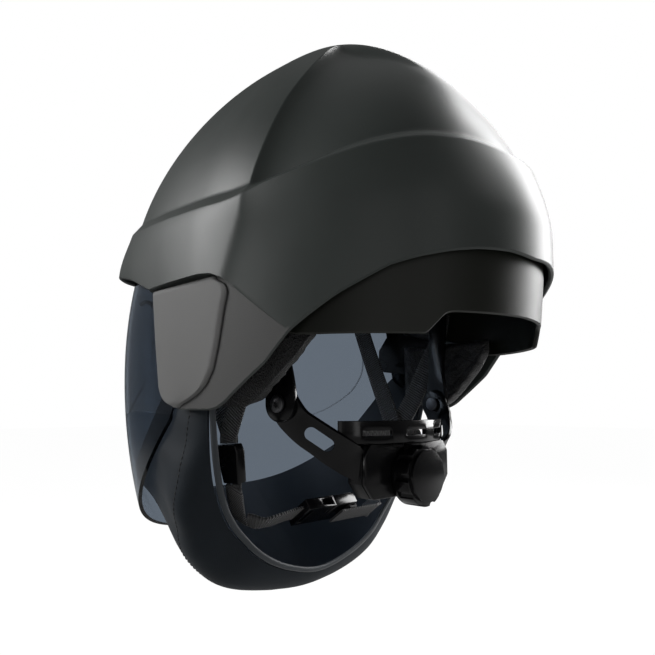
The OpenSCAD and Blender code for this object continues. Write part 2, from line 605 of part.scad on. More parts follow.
// Hanger screws: the pivots of the nape arms
module hanger_screw() {
    head = hanger_in + hanger_thick + 0.1;
    difference() {
        union() {
            across_x(hanger_in - seat - arm_thick - 2.6, head, hanger_y, hanger_z, screw_r);
            across_x(head, head + 2, hanger_y, hanger_z, screw_r + 2.2);
            across_x(hanger_in - seat - arm_thick - 2.6, hanger_in - seat - arm_thick - 0.9, hanger_y,
                     hanger_z, screw_r + 2);
        }
        for (turn = [0, 60, 120]) translate([head + 1, hanger_y, hanger_z]) rotate([turn, 0, 0])
            translate([0, -0.55, -2]) cube([2, 1.1, 4]);
    }
}
module hanger_screw_left() { color(steel) hanger_screw(); }
module hanger_screw_right() { color(steel) mirror([1, 0, 0]) hanger_screw(); }

// Nape arms: slotted blades from the hanger screws to the ratchet housing
arm_x = hanger_in - seat - arm_thick / 2;
housing_half = 38;
arm_path = [[arm_x, hanger_y + 1, hanger_z - 3], [arm_x - 0.3, hanger_y + 3, hanger_z - 7],
            [65, 35.5, -104], [60.5, 39.5, -109], [housing_half + 18, 43.5, -113],
            [housing_half + 12.5, 47.5, -117.5],
            [housing_half + 7, 51, -122], [housing_half + 2.6, 53.2, -125]];
arm_across = [[0, 1, 0.4], [0, 1, 0.45], [0.1, 0.8, 0.6], [0.2, 0.6, 0.8], [0.3, 0.5, 0.9], [0.35, 0.4, 1],
              [0.35, 0.2, 1], [0.3, 0, 1]];
slot_a = [59.5, 40.3, -109.9];
slot_b = [housing_half + 14.5, 46, -115.9];
slot_axis = [0.66, 0.75, 0.05];
module pin_along(p, axis, r, long) {
    translate(p) rotate([0, acos(axis[2] / norm(axis)), atan2(axis[1], axis[0])])
        cylinder(h = long, r = r, center = true);
}
module nape_arm() {
    difference() {
        union() {
            across_x(arm_x - arm_thick / 2, arm_x + arm_thick / 2, hanger_y, hanger_z, arm_wide / 2);
            ribbon(arm_path, arm_across, arm_wide, arm_thick);
        }
        hull() {
            pin_along(slot_a, slot_axis, arm_slot / 2, 14);
            pin_along(slot_b, slot_axis, arm_slot / 2, 14);
        }
        across_x(arm_x - 6, arm_x + 6, hanger_y, hanger_z, screw_r + 0.05);
    }
}
module nape_arm_left() { color(black) nape_arm(); }
module nape_arm_right() { color(black) mirror([1, 0, 0]) nape_arm(); }

// Nape cradle: slotted band above the ratchet housing, curved round the back of the head
housing_top = knob_z + 18;
cradle_r = 73;
cradle_thick = 3;
cradle_y = -10;
cradle_low = housing_top + seat;
cradle_high = 12.5;
cradle_span = 39;
module cradle_sector(r0, r1, z0, high, span) {
    translate([0, cradle_y, z0]) rotate([0, 0, 90 - span])
        rotate_extrude(angle = 2 * span, $fn = 120) translate([r0, 0]) square([r1 - r0, high]);
}
module nape_cradle() {
    color(black) difference() {
        cradle_sector(cradle_r, cradle_r + cradle_thick, cradle_low, cradle_high, cradle_span);
        for (turn = [-25, 0, 25]) rotate([0, 0, turn])
            translate([-9, cradle_r - 16, cradle_low + 4.2]) cube([18, 14, 3]);
    }
}
// Nape pad: foam cushion between the housing and the neck
module nape_pad() {
    color(dark) hull() for (x = [-26, 26], z = [knob_z - 7, knob_z + 20])
        translate([x, housing_y - 2.7, z]) rotate([90, 0, 0]) cylinder(h = 4, r = 5, center = true, $fn = 24);
}

// Ratchet housing: box with a channel for the racks and a bearing for the knob's shaft
channel_y = housing_y + 4.5;
rack_thick = 5;
rack_high = 3;
tooth_tip = 0.8;
tooth_root = 0.75;
housing_outline = [[-housing_half, 12], [4 - housing_half, 18], [housing_half - 4, 18], [housing_half, 12],
                   [housing_half, -3], [housing_half - 7, -11.5], [7 - housing_half, -11.5], [-housing_half, -3]];
module housing_prism(y, deep) {
    translate([0, y + deep, knob_z]) rotate([90, 0, 0]) linear_extrude(deep) polygon(housing_outline);
}
module along_y(y0, y1, z, r) {
    translate([0, y0, z]) rotate([-90, 0, 0]) cylinder(h = y1 - y0, r = r);
}
lid_deep = 3;
module ratchet_housing() {
    reach = pinion_r + rack_high + 0.3;
    color(black) difference() {
        housing_prism(housing_y, housing_deep - lid_deep - 0.1);
        for (z = [knob_z + pinion_r - 1.5, knob_z - reach])
            translate([-housing_half + 8, channel_y - 0.3, z])
                cube([2 * housing_half - 16, housing_deep, reach - pinion_r + 1.5]);
        along_y(channel_y - 0.3, housing_y + housing_deep, knob_z, pinion_r + 2);
        along_y(housing_y - 1, channel_y, knob_z, shaft_r + bolt_play);
    }
}
module ratchet_cover() {
    color(black) difference() {
        housing_prism(housing_y + housing_deep - lid_deep, lid_deep);
        along_y(housing_y, housing_y + 2 * housing_deep, knob_z, shaft_r + bolt_play);
    }
}
// Knob with finger grooves and the shaft that drives the pinion
knob_y = housing_y + housing_deep + 0.4;
module ratchet_knob() {
    color(black) {
        difference() {
            union() {
                along_y(knob_y, knob_y + knob_deep - 2, knob_z, knob_r);
                along_y(knob_y + knob_deep - 2, knob_y + knob_deep, knob_z, knob_r - 2.5);
            }
            for (k = [0 : knob_grooves - 1])
                translate([0, knob_y + 2, knob_z]) rotate([0, k * 360 / knob_grooves, 0])
                    translate([knob_r + 1.5, 0, 0]) rotate([-90, 0, 0]) cylinder(h = knob_deep, r = 3);
        }
        along_y(housing_y + 0.5, knob_y, knob_z, shaft_r);
    }
}
// Pinion on the knob's shaft, in mesh with both racks; flat flanks with rounded tips
tooth_half = 0.6;
tooth_outline = [[pinion_r - 1.7, -tooth_half], [pinion_r, -tooth_half], [pinion_r + 0.42, -0.42], [pinion_r + 0.6, 0],
                 [pinion_r + 0.42, 0.42], [pinion_r, tooth_half], [pinion_r - 1.7, tooth_half]];
function turned(p, turn) = [p[0] * cos(turn) - p[1] * sin(turn), p[0] * sin(turn) + p[1] * cos(turn)];
module pinion() {
    color(dark) translate([0, channel_y + rack_thick, knob_z]) rotate([90, 0, 0]) linear_extrude(rack_thick) difference() {
        polygon([for (k = [0 : pinion_teeth - 1]) each
            [for (p = tooth_outline) turned(p, (k + 0.5) * 360 / pinion_teeth)]]);
        circle(r = shaft_r + 0.01);
    }
}
// Racks: toothed strips that the pinion draws in from both sides
rack_from = -14;
rack_to = 17.5;
gap_half = 0.95;
module rack() {
    pitch = 2 * PI * pinion_r / pinion_teeth;
    color(dark) difference() {
        translate([rack_from, channel_y, knob_z + pinion_r - tooth_tip])
            cube([rack_to - rack_from, rack_thick, rack_high + tooth_tip]);
        for (k = [-6 : 5]) translate([(k + 0.5 * (pinion_teeth % 2)) * pitch + rack_phase, channel_y - 1, knob_z + pinion_r - tooth_tip - 1])
            translate([-gap_half, 0, 0]) cube([2 * gap_half, rack_thick + 2, tooth_tip + tooth_root + 1]);
    }
}
rack_phase = PI * pinion_r / pinion_teeth;
module rack_left() { rack(); }
module rack_right() { translate([0, 0, knob_z]) rotate([0, 180, 0]) translate([0, 0, -knob_z]) rack(); }

// Ear pads: quilted padding that closes the wings on the inside
pad_thick = 7;
pad_levels = [-52, -54, -58, -62, -69, -76, -83, -89, -93];
pad_rear = [[-93, 20], [-85, 32], [-74, 46], [-62, 57], [-52, 40]];
pad_steps = [0, 0.06, 0.25, 0.5, 0.75, 0.94, 1];
function pad_point(z, s, lift) =
    let (y = mix(-14, lookup(z, pad_rear), s), rim = ease(0, 0.1, s) * ease(1, 0.9, s) * ease(-52, -55, z) * ease(-94, -88, z))
    [lens_half - 9.1 - 0.0026 * pow(max(0, y - 8), 2) - lift * (0.35 + 0.65 * rim), y, z];
module ear_pad() {
    slab([for (z = pad_levels) [for (s = pad_steps) pad_point(z, s, 0)]],
         [for (z = pad_levels) [for (s = pad_steps) pad_point(z, s, pad_thick)]]);
}
module ear_pad_left() { color(dark) ear_pad(); }
module ear_pad_right() { color(dark) mirror([1, 0, 0]) ear_pad(); }

// Chin straps: woven webbing from the inner shell through a divider to the buckle
divider_top = [strap_x, -11, -117];
divider_foot = [strap_x - 4, -12.5, -139.5];
module strap_front() {
    ribbon([[76.3, -58.7, 12.5], [77.6, -58.8, 2], [79.4, -56, -12], [79.6, -52, -26], [79, -45, -44], [77.6, -34, -68],
            [76.4, -23.5, -90], [75.4, -16, -105], [74.8, -12.9, -112.5], [74.7, -12.7, -115.7]],
           [[0.38, 0.85, 0.36], [0.38, 0.85, 0.36], [0.25, 0.87, 0.4], [0.1, 0.9, 0.42], [0, 0.9, 0.42],
            [0, 0.9, 0.42], [0, 0.92, 0.38], [0, 0.97, 0.25], [0, 1, 0], [0, 1, 0]], web_wide, web_thick);
}
module strap_rear() {
    ribbon([[84.6, 27, -29], [83.5, 24, -44], [81.4, 14, -66], [79.5, 3.5, -88], [78, -6, -104], [77.3, -10.3, -112.5],
            [77.1, -10.6, -116.4]],
           [[-0.33, 0.86, -0.4], [-0.28, 0.88, -0.4], [-0.1, 0.9, -0.42], [0, 0.92, -0.38], [0, 0.97, -0.25],
            [0, 1, 0], [0, 1, 0]], web_wide, web_thick);
}
module strap_lower() {
    ribbon([[strap_x - 3.7, -12.4, -139.8], [strap_x - 4, -12.6, -142.5], [strap_x - 12, -21, -154.5],
            [strap_x - 18, -26, -164]], [0, 1, 0], web_wide - 2, web_thick);
}
module strap_divider() {
    middle = (divider_top + divider_foot) / 2;
    translate(middle + [0.4, 0, 0]) rotate([3, 10, 0]) translate([-3, 0, 0]) rotate([90, 0, 90])
        linear_extrude(6) polygon([[-9, 11.5], [9, 11.5], [10.5, 7], [7.5, -11], [-7.5, -11], [-10.5, 7]]);
}
module strap_front_left() { color(dark) strap_front(); }
module strap_front_right() { color(dark) mirror([1, 0, 0]) strap_front(); }
module strap_rear_left() { color(dark) strap_rear(); }
module strap_rear_right() { color(dark) mirror([1, 0, 0]) strap_rear(); }
module strap_divider_left() { color(black) strap_divider(); }
module strap_divider_right() { color(black) mirror([1, 0, 0]) strap_divider(); }
module strap_lower_left() { color(dark) strap_lower(); }
module strap_lower_right() { color(dark) mirror([1, 0, 0]) strap_lower(); }

// Buckle under the chin: socket on the left, tongue on the right, leaned back by an angle
buckle_y = -12;
buckle_z = -162;
buckle_lean = 35;
socket_long = 24;
socket_x = -2;
module buckle_frame() {
    translate([0, buckle_y, buckle_z]) rotate([buckle_lean, 0, 0]) children();
}
web_across = [0, cos(buckle_lean), sin(buckle_lean)];
web_normal = [0, -sin(buckle_lean), cos(buckle_lean)];
module buckle_socket() {
    color(black) buckle_frame() difference() {
        translate([socket_x, -buckle_wide / 2, -buckle_thick / 2]) cube([socket_long, buckle_wide, buckle_thick]);
        translate([socket_x - 1, -buckle_wide / 2 + 2, -buckle_thick / 2 + 1.4]) cube([18, buckle_wide - 4, buckle_thick - 2.8]);
        translate([socket_x + 3, -buckle_wide / 2 - 1, -buckle_thick / 2 + 1.4]) cube([8, 4, buckle_thick - 2.8]);
        translate([socket_x + 3, buckle_wide / 2 - 3, -buckle_thick / 2 + 1.4]) cube([8, 4, buckle_thick - 2.8]);
        translate([socket_x + 18, -web_wide / 2 - 0.5, -buckle_thick]) cube([3, web_wide + 1, 2 * buckle_thick]);
    }
}
tongue_base = 19;
module buckle_tongue() {
    core = buckle_thick - 2.8 - 2 * tongue_gap;
    color(black) buckle_frame() difference() {
        union() {
            translate([socket_x - seat - tongue_base, -buckle_wide / 2, -buckle_thick / 2])
                cube([tongue_base, buckle_wide, buckle_thick]);
            for (side = [-1, 1])
                translate([socket_x - seat - 1, side * (buckle_wide / 2 - 3.6 - tongue_gap) - 1.3, -core / 2])
                    cube([16, 2.6, core]);
            translate([socket_x - seat - 1, -2, -core / 2]) cube([14, 4, core]);
        }
        translate([socket_x - seat - tongue_base + 3, -web_wide / 2 - 0.5, -buckle_thick])
            cube([4, web_wide + 1, 2 * buckle_thick]);
    }
}
// Sewn loop that holds the tongue's bar
module tongue_loop() {
    bar_x = socket_x - seat - tongue_base;
    high = buckle_thick / 2 + seat;
    color(dark) buckle_frame() difference() {
        translate([bar_x - seat - web_thick, -web_wide / 2, -high - web_thick])
            cube([3 + 2 * web_thick + 2 * seat, web_wide, 2 * high + 2 * web_thick]);
        translate([bar_x - seat, -web_wide, -high]) cube([3 + 2 * seat, 2 * web_wide, 2 * high]);
    }
}
// Chin webbing: the left end meets the socket, the right end runs on under the tongue
module chin_webbing_left() {
    y = buckle_y;
    z = buckle_z;
    color(dark) ribbon([[strap_x - 19.2, -20, -162.6], [50, -14.5, -164.8], [42, y, -164],
                        [34, y, z - 1], [28, y, z - 0.2], [socket_x + socket_long + 2 * seat, y, z]],
                       [[0, 1, 0.3], [0, 1, 0.5], web_across, web_across, web_across, web_across], web_wide, web_thick);
}
module chin_webbing_right() {
    under = -(buckle_thick / 2 + 2 * seat + 1.5 * web_thick) * web_normal;
    base = [0, buckle_y, buckle_z] + under;
    color(dark) ribbon([[19.2 - strap_x, -20, -162.9], [-50.5, -14, -165.4], [-47, -10.4, base[2] - 0.2], base + [-44, 0, 0],
                        base + [-36, 0, 0], base + [-8, 0, 0]],
                       [[0, 1, 0.3], [0, 1, 0.5], web_across, web_across, web_across, web_across], web_wide, web_thick);
}

outer_shell();
inner_shell();
impact_liner();
side_cover_left();
side_cover_right();
visor_lens();
visor_arm_left();
visor_arm_right();
lens_trim_left();
lens_trim_right();
chin_guard();
guard_binding();
hinge_bolt_left();
hinge_bolt_right();
friction_washer_left();
friction_washer_right();
hinge_boss_left();
hinge_boss_right();
headband();
sweatband();
suspension_hooks();
crown_strap_under();
crown_strap_over();
hanger_arm_left();
hanger_arm_right();
hanger_screw_left();
hanger_screw_right();
hanger_rivets();
nape_arm_left();
nape_arm_right();
nape_cradle();
nape_pad();
ratchet_housing();
ratchet_cover();
ratchet_knob();
pinion();
rack_left();
rack_right();
ear_pad_left();
ear_pad_right();
strap_front_left();
strap_front_right();
strap_rear_left();
strap_rear_right();
strap_divider_left();
strap_divider_right();
strap_lower_left();
strap_lower_right();
chin_webbing_left();
chin_webbing_right();
buckle_socket();
buckle_tongue();
tongue_loop();
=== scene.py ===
import math

import bmesh
import bpy
import numpy as np
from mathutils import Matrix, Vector


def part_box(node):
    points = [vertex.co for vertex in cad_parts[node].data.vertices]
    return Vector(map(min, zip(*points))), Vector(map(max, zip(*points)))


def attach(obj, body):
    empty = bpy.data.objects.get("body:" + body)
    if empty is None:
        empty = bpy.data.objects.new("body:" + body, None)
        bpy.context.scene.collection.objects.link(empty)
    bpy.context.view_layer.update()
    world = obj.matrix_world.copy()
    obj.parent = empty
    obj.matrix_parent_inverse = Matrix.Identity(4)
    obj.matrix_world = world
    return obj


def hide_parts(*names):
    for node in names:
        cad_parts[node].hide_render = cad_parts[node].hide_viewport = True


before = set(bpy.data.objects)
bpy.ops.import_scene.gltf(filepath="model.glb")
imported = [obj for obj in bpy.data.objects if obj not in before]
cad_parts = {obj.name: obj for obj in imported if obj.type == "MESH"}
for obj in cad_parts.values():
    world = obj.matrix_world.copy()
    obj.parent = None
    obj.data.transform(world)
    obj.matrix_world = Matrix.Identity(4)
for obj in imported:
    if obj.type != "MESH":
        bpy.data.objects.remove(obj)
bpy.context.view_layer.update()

# Camera: it stands 0.4 m behind the wearer's left ear and a little below the helmet's
# middle, and looks slightly up, so the opening between shell, lens and guard faces it.
view_turn = math.radians(135.7)
view_rise = math.radians(-7.5)
view_centre = Vector((0.0, -0.008, -0.0425))
view_distance = 0.400
photo_width = 655
view_focal = 590.0
view_back = Vector((math.sin(view_turn) * math.cos(view_rise),
                    -math.cos(view_turn) * math.cos(view_rise), math.sin(view_rise)))
camera_data = bpy.data.cameras.new("photo_camera")
camera_data.sensor_width = 36.0
camera_data.lens = camera_data.sensor_width * view_focal / photo_width
camera_data.clip_start = 0.01
camera = bpy.data.objects.new("photo_camera", camera_data)
camera.location = view_centre + view_distance * view_back
camera.rotation_euler = view_back.to_track_quat("Z", "Y").to_euler()
bpy.context.collection.objects.link(camera)
bpy.context.scene.camera = camera

# Outer shell: an injection-moulded dome in satin grey plastic, with a wide belt, a crease
# that starts over each ear, a hollow behind it, a crest to the nape, and two side wings.
MM = 0.001
shell_half_width = 109
shell_front_reach = 164
shell_rear_reach = 137
shell_crown = 150
shell_wall = 2.8
plan_power = 2.55, 2.04
shell_power = [(0, 1.86), (90, 1.59), (180, 1.61)]
skirt_fall = 400
# The shell's lines go by turn from the front, and the crease by rise; heights, drops and
# widths are in millimetres, and turns and rises in degrees.
belt_proud, brow_proud, hollow_deep, fold_deep = 4.5, 6.5, 6.0, 2.2
belt_line = [(0, 24), (40, 22), (61, 14), (83, 11), (104, 9), (111, 10.5), (118, 16), (127, 20),
             (142, 28), (155, 33), (165, 34), (180, 32)]
crease_line = [(-90, 111), (8, 111), (15, 112), (30, 115), (40, 117.5), (48, 121), (57, 125.5),
               (69, 133), (77, 146), (84, 165), (90, 180)]
crease_foot = 111
wing_step = [(60, 0), (95, 0), (100, 1), (105, 5), (112, 16), (124, 33), (130, 38), (180, 38)]
wing_top, wing_half, wing_lean = -26, 107, 0.012
rim_line = [(0, 0), (20, -1), (41, -6), (55, -15), (66, -25), (67.5, -29), (69.5, -58), (71.5, -82),
            (73.5, -91), (76, -94.5), (81, -96.5), (97, -96.5), (100, -95.5), (103, -93), (109, -85),
            (117, -74), (124, -59), (128, -53), (135, -43), (141, -36), (146, -30), (152, -26),
            (158, -23), (164, -21), (172, -20), (180, -21)]


def ease(a, b, v):
    """A smooth step of v, from zero at a to one at b."""
    t = np.clip((v - a) / (b - a), 0, 1)
    return t * t * (3 - 2 * t)


def mix(a, b, t):
    return a + (b - a) * t


def read(rows, v, soft=0.0):
    """The table's value at v, rounded over soft either way."""
    xs, ys = zip(*rows)
    steps = (-1, -0.5, 0, 0.5, 1) if soft else (0,)
    return sum(np.interp(v + s * soft, xs, ys) for s in steps) / len(steps)


def sin(a):
    return np.sin(np.radians(a))


def cos(a):
    return np.cos(np.radians(a))


def plain_reach(turn, el):
    """How far the plain dome lies from the middle, turned from the front and raised by el."""
    front = cos(turn) > 0
    power = np.where(front, *plan_power)
    far = np.where(front, shell_front_reach, shell_rear_reach)
    across, ahead = np.abs(sin(turn)) / shell_half_width, np.abs(cos(turn)) / far
    level = (across ** power + ahead ** power) ** (-1 / power)
    n = read(shell_power, np.abs(turn), 20)
    up = np.maximum(sin(el), 0)
    dome = ((cos(el) / level) ** n + (up / shell_crown) ** n) ** (-1 / n)
    return np.where(el >= 0, dome, ((cos(el) / level) ** 2 + (sin(el) / skirt_fall) ** 2) ** -0.5)


def wing_turn_in(y):
    """How far a wing bends in towards the rear."""
    return 0.0026 * np.maximum(0, y - 8) ** 2


def wing_x(y, z):
    """Where a wing's outside lies: flat, a little leant, and bent in towards the rear."""
    return wing_half - wing_lean * (wing_top - z) - wing_turn_in(y)


def skin_reach(turn, el, lift):
    """The shell's outside: the plain dome with belt, brow, hollow, fold and sunk wings, where
    lift raises the step down to the wings."""
    t = np.abs(turn)
    r = plain_reach(turn, el)
    flat, z = r * cos(el), r * sin(el)
    above = z - read(belt_line, t, 2.5)
    chamfer = np.clip(1 - above / 8, 0, 1)
    belt = belt_proud * mix(chamfer, ease(8, 0, above), ease(98, 118, t))
    brow = brow_proud * (1 - ease(30, 72, t)) * ease(0, 34, 4 - above)
    behind = np.radians(t - read(crease_line, el, 2)) * flat
    crest = mix(27, 15, ease(30, 100, -flat * cos(t)))
    bend = mix(8, 2.5, ease(40, 75, el))
    hollow = hollow_deep * (1 - np.exp(-np.maximum(behind, 0) / bend)) * (1 - ease(15, 85, behind))
    hollow = hollow * ease(crest - 4, crest + 4, flat * sin(t)) * ease(0, 8, above)
    hollow = hollow * (1 - 0.85 * ease(64, 82, el))
    past = np.maximum(0, np.radians(t - 110.3 - 0.2 * np.minimum(z, 0)) * flat)
    fold = fold_deep * (1 - np.exp(-past / 9)) * (1 - ease(20, 90, past)) * ease(8, 0, above)
    out = r + belt + brow - hollow - fold
    limit = wing_x(-out * cos(el) * cos(t), out * sin(el)) / np.maximum(0.3, cos(el) * sin(t))
    inside = (t > 58) & (t < 130)
    step = wing_top - read(wing_step, t, 1) + lift
    sunk = np.where(inside, ease(0, 1.2, step - out * sin(el)), 0)
    return out - sunk * np.maximum(0, out - limit)


def polar(turn, el, r):
    """Points at a turn from the front, a rise and a distance from the middle."""
    return np.stack([r * cos(el) * sin(turn), -r * cos(el) * cos(turn), r * sin(el)], -1)


def rise_to(reach, turn, z):
    """The rise at which a surface reaches the height z."""
    el = np.zeros_like(turn)
    for _ in range(9):
        el = np.degrees(np.arctan2(z, reach(turn, el) * cos(el)))
    return el


def warp(u, el):
    """Turns moved so that one column of points follows the crease."""
    c, a = read(crease_line, el, 2), np.abs(u)
    before = 60 + (a - 60) * (c - 60) / (crease_foot - 60)
    after = c + (a - crease_foot) * (180 - c) / (180 - crease_foot)
    t = np.where(a < 60, a, np.where(a < crease_foot, before, after))
    return np.where(u < 0, -t, t)


def whole_ring(half):
    """Turns for a whole ring from those of its left half."""
    return np.concatenate([half, -half[-2:0:-1]])


def finer(keys, parts):
    """Rows between rows: parts steps from each key row to the next."""
    rows = [mix(a, b, k / parts) for a, b in zip(keys[:-1], keys[1:]) for k in range(parts)]
    return rows + [keys[-1]]


def grid_quads(rows, cols, start=0, wrap=False, flip=False):
    quads = []
    for i in range(rows - 1):
        for j in range(cols if wrap else cols - 1):
            a, b = start + i * cols + j, start + i * cols + (j + 1) % cols
            quads.append((a, b, b + cols, a + cols) if flip else (a, a + cols, b + cols, b))
    return quads


def add_piece(name, points, faces, body, material, sharp, uv=None):
    """A new mesh from points in millimetres that rides on a body and takes a slot's finish."""
    mesh = bpy.data.meshes.new(name)
    mesh.from_pydata((np.asarray(points, float).reshape(-1, 3) * MM).tolist(), [], faces)
    if uv is not None:
        layer = mesh.uv_layers.new(name="weave")
        flat = np.asarray(uv, float).reshape(-1, 2)
        index = np.empty(len(mesh.loops), int)
        mesh.loops.foreach_get("vertex_index", index)
        layer.data.foreach_set("uv", flat[index].ravel())
    mesh.polygons.foreach_set("use_smooth", [True] * len(mesh.polygons))
    mesh.set_sharp_from_angle(angle=math.radians(sharp))
    piece = bpy.data.objects.new(name, mesh)
    bpy.context.collection.objects.link(piece)
    mesh.materials.append(material)
    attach(piece, body)
    return piece


def dome_piece(name, outer, inner, top_out, top_in, body, material, sharp):
    """A closed dome skin from rings of points outside and inside, with a rounded rim."""
    cols = outer.shape[1]
    lip = (outer[-1] + inner[-1]) / 2
    lip[:, 2] -= 0.35 * np.linalg.norm(outer[-1] - inner[-1], axis=1)
    rows = np.concatenate([outer, lip[None], inner[::-1]])
    apex = rows.shape[0] * cols
    faces = grid_quads(rows.shape[0], cols, wrap=True)
    last = (rows.shape[0] - 1) * cols
    for j in range(cols):
        k = (j + 1) % cols
        faces += [(apex, j, k), (apex + 1, last + k, last + j)]
    points = np.concatenate([rows.reshape(-1, 3), [(0, 0, top_out), (0, 0, top_in)]])
    return add_piece(name, points, faces, body, material, sharp)


def new_node(tree, kind, inputs=(), **settings):
    """A shader node with its settings, and its inputs as values or other nodes' outputs."""
    node = tree.nodes.new("ShaderNode" + kind)
    for name, value in settings.items():
        setattr(node, name, value)
    for name, value in dict(inputs).items():
        if isinstance(value, bpy.types.NodeSocket):
            tree.links.new(value, node.inputs[name])
        else:
            node.inputs[name].default_value = value
    return node


def worked(tree, operation, *values):
    """The output of a Math node on numbers and other outputs."""
    return new_node(tree, "Math", enumerate(values), operation=operation).outputs[0]


def scaled(tree, colour, factor):
    return new_node(tree, "VectorMath", {0: colour, "Scale": factor}, operation="SCALE").outputs[0]


def spread(tree, value, low, high, bottom=-1.0):
    """The output of a value whose range from low to high is spread from bottom to one."""
    limits = {"Value": value, "From Min": low, "From Max": high, "To Min": bottom}
    return new_node(tree, "MapRange", limits).outputs["Result"]


def surface_group(name, inputs, outputs):
    """A node group, with the sockets that it is given and the sockets that it puts out."""
    group = bpy.data.node_groups.new(name, "ShaderNodeTree")
    for way, words in (("INPUT", inputs), ("OUTPUT", outputs)):
        for word in words:
            kind = "NodeSocketColor" if word == "Colour" else "NodeSocketFloat"
            group.interface.new_socket(name=word, in_out=way, socket_type=kind)
    return group, group.nodes.new("NodeGroupInput").outputs, group.nodes.new("NodeGroupOutput").inputs


def moulded_group():
    """Moulded plastic: faint mottling, a fine grain and paler worn edges."""
    asked = ("Colour", "Roughness", "Mottle", "Grain scale", "Wear")
    group, given, out = surface_group("moulded_surface", asked, ("Colour", "Roughness", "Height"))
    link = group.links.new
    place = new_node(group, "TexCoord").outputs["Object"]
    cloud = new_node(group, "TexNoise", {"Vector": place, "Scale": 26.0, "Detail": 4.0}).outputs["Fac"]
    grain = new_node(group, "TexNoise", {"Vector": place, "Scale": given["Grain scale"], "Detail": 2.0})
    shade = worked(group, "MULTIPLY", spread(group, cloud, 0.3, 0.7), given["Mottle"])
    edge = new_node(group, "NewGeometry").outputs["Pointiness"]
    worn = worked(group, "MULTIPLY", spread(group, edge, 0.52, 0.62, 0.0), given["Wear"])
    level = worked(group, "ADD", worked(group, "ADD", shade, worn), 1.0)
    link(scaled(group, given["Colour"], level), out["Colour"])
    link(worked(group, "MULTIPLY_ADD", shade, 0.5, given["Roughness"]), out["Roughness"])
    link(grain.outputs["Fac"], out["Height"])
    return group


moulded_surface = moulded_group()


def surfaced(name, colour, group, given, depth, shading):
    """A material with colour and height from a surface group and plain values on its shader."""
    material = bpy.data.materials.new(name)
    material.use_nodes = True
    material.diffuse_color = (*colour, 1)
    tree = material.node_tree
    shader = tree.nodes["Principled BSDF"]
    surface = new_node(tree, "Group", {"Colour": (*colour, 1), **given}, node_tree=group)
    bump = new_node(tree, "Bump", {"Height": surface.outputs["Height"], "Distance": depth, "Strength": 1.0})
    tree.links.new(surface.outputs["Colour"], shader.inputs["Base Color"])
    tree.links.new(bump.outputs["Normal"], shader.inputs["Normal"])
    if "Roughness" in surface.outputs:
        tree.links.new(surface.outputs["Roughness"], shader.inputs["Roughness"])
    for word, value in shading.items():
        shader.inputs[word].default_value = value
    return material


def moulded(name, colour, roughness, mottle, grain_scale, grain_depth, wear, specular=0.5):
    given = {"Roughness": roughness, "Mottle": mottle, "Grain scale": grain_scale, "Wear": wear}
    return surfaced(name, colour, moulded_surface, given, grain_depth, {"Specular IOR Level": specular})


shell_finish = moulded("shell_satin", (0.043, 0.050, 0.047), 0.40, 0.05, 1300.0, 0.00002, 0.0, 0.4)
cover_finish = moulded("cover_grain", (0.150, 0.150, 0.148), 0.62, 0.04, 2600.0, 0.00012, 0.15, 0.35)
# The wings' finish is the covers' grained plastic with a darker colour: painted shade for the wings' rear,
# which turns away from the light
wing_painted_shade_finish = moulded("wing_grain_painted_shade", (0.062, 0.062, 0.061), 0.62, 0.04, 2600.0, 0.00012, 0.15, 0.35)
shell_turns = whole_ring(np.concatenate([
    np.arange(0, 60, 2.0), np.arange(60, 66, 1.0), np.arange(66, 78, 0.5), np.arange(78, 100, 1.5),
    np.arange(100, 108, 1.0), np.arange(108, 116, 0.5), np.arange(116, 130, 1.0), np.arange(130, 181, 2.0)]))
belt_here = read(belt_line, np.abs(shell_turns), 2.5)
rim_here = read(rim_line, np.abs(shell_turns), 0.7)


def shell_levels(lift):
    """Heights of the shell's key rows from above the belt to the rim."""
    step = np.maximum(wing_top - read(wing_step, np.abs(shell_turns), 1) + lift, rim_here)
    under = step - 1.2
    marks = [mix(belt_here, step, share) for share in (0.3, 0.6, 0.85)]
    marks += [step + 0.1, step - 0.6, under - 0.1]
    marks += [mix(under, rim_here, share) for share in (0.33, 0.7, 0.95)]
    marks = [np.maximum(m, rim_here + 0.3 * (len(marks) - i)) for i, m in enumerate(marks)]
    return [belt_here + 8, belt_here + 5.5, belt_here + 2.5, belt_here] + marks + [rim_here]


def shell_rings(lift, dome_rows, parts):
    """Rings of the shell's outside from the crown to the rim, with the wings' step lifted."""
    def reach(turn, el):
        return skin_reach(turn, el, lift)
    levels = finer(shell_levels(lift), parts)
    top = rise_to(reach, shell_turns, levels[0])
    rises = [mix(90, top, k / dome_rows) for k in range(1, dome_rows)]
    rises += [rise_to(reach, shell_turns, z) for z in levels]
    turns = [warp(shell_turns, el) for el in rises]
    return np.array([polar(turn, el, reach(turn, el)) for turn, el in zip(turns, rises)])


def inward(points, reach, wall):
    """Points moved in by the wall along a plain surface's normal."""
    r = np.linalg.norm(points, axis=-1)
    el = np.minimum(np.degrees(np.arcsin(points[..., 2] / r)), 88)
    turn = np.degrees(np.arctan2(points[..., 0], -points[..., 1]))
    side = polar(turn + 1, el, reach(turn + 1, el)) - polar(turn - 1, el, reach(turn - 1, el))
    up = polar(turn, el + 1, reach(turn, el + 1)) - polar(turn, el - 1, reach(turn, el - 1))
    normal = np.cross(side, up)
    return points - wall * normal / np.linalg.norm(normal, axis=-1, keepdims=True)


shell_out = shell_rings(0.0, 84, 3)
shell_in = inward(shell_rings(shell_wall, 24, 1), plain_reach, shell_wall)
shell_skin = dome_piece("shell_skin", shell_out, shell_in, shell_crown, shell_crown - shell_wall, "helmet",
                        shell_finish, 55)
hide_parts("outer_shell")
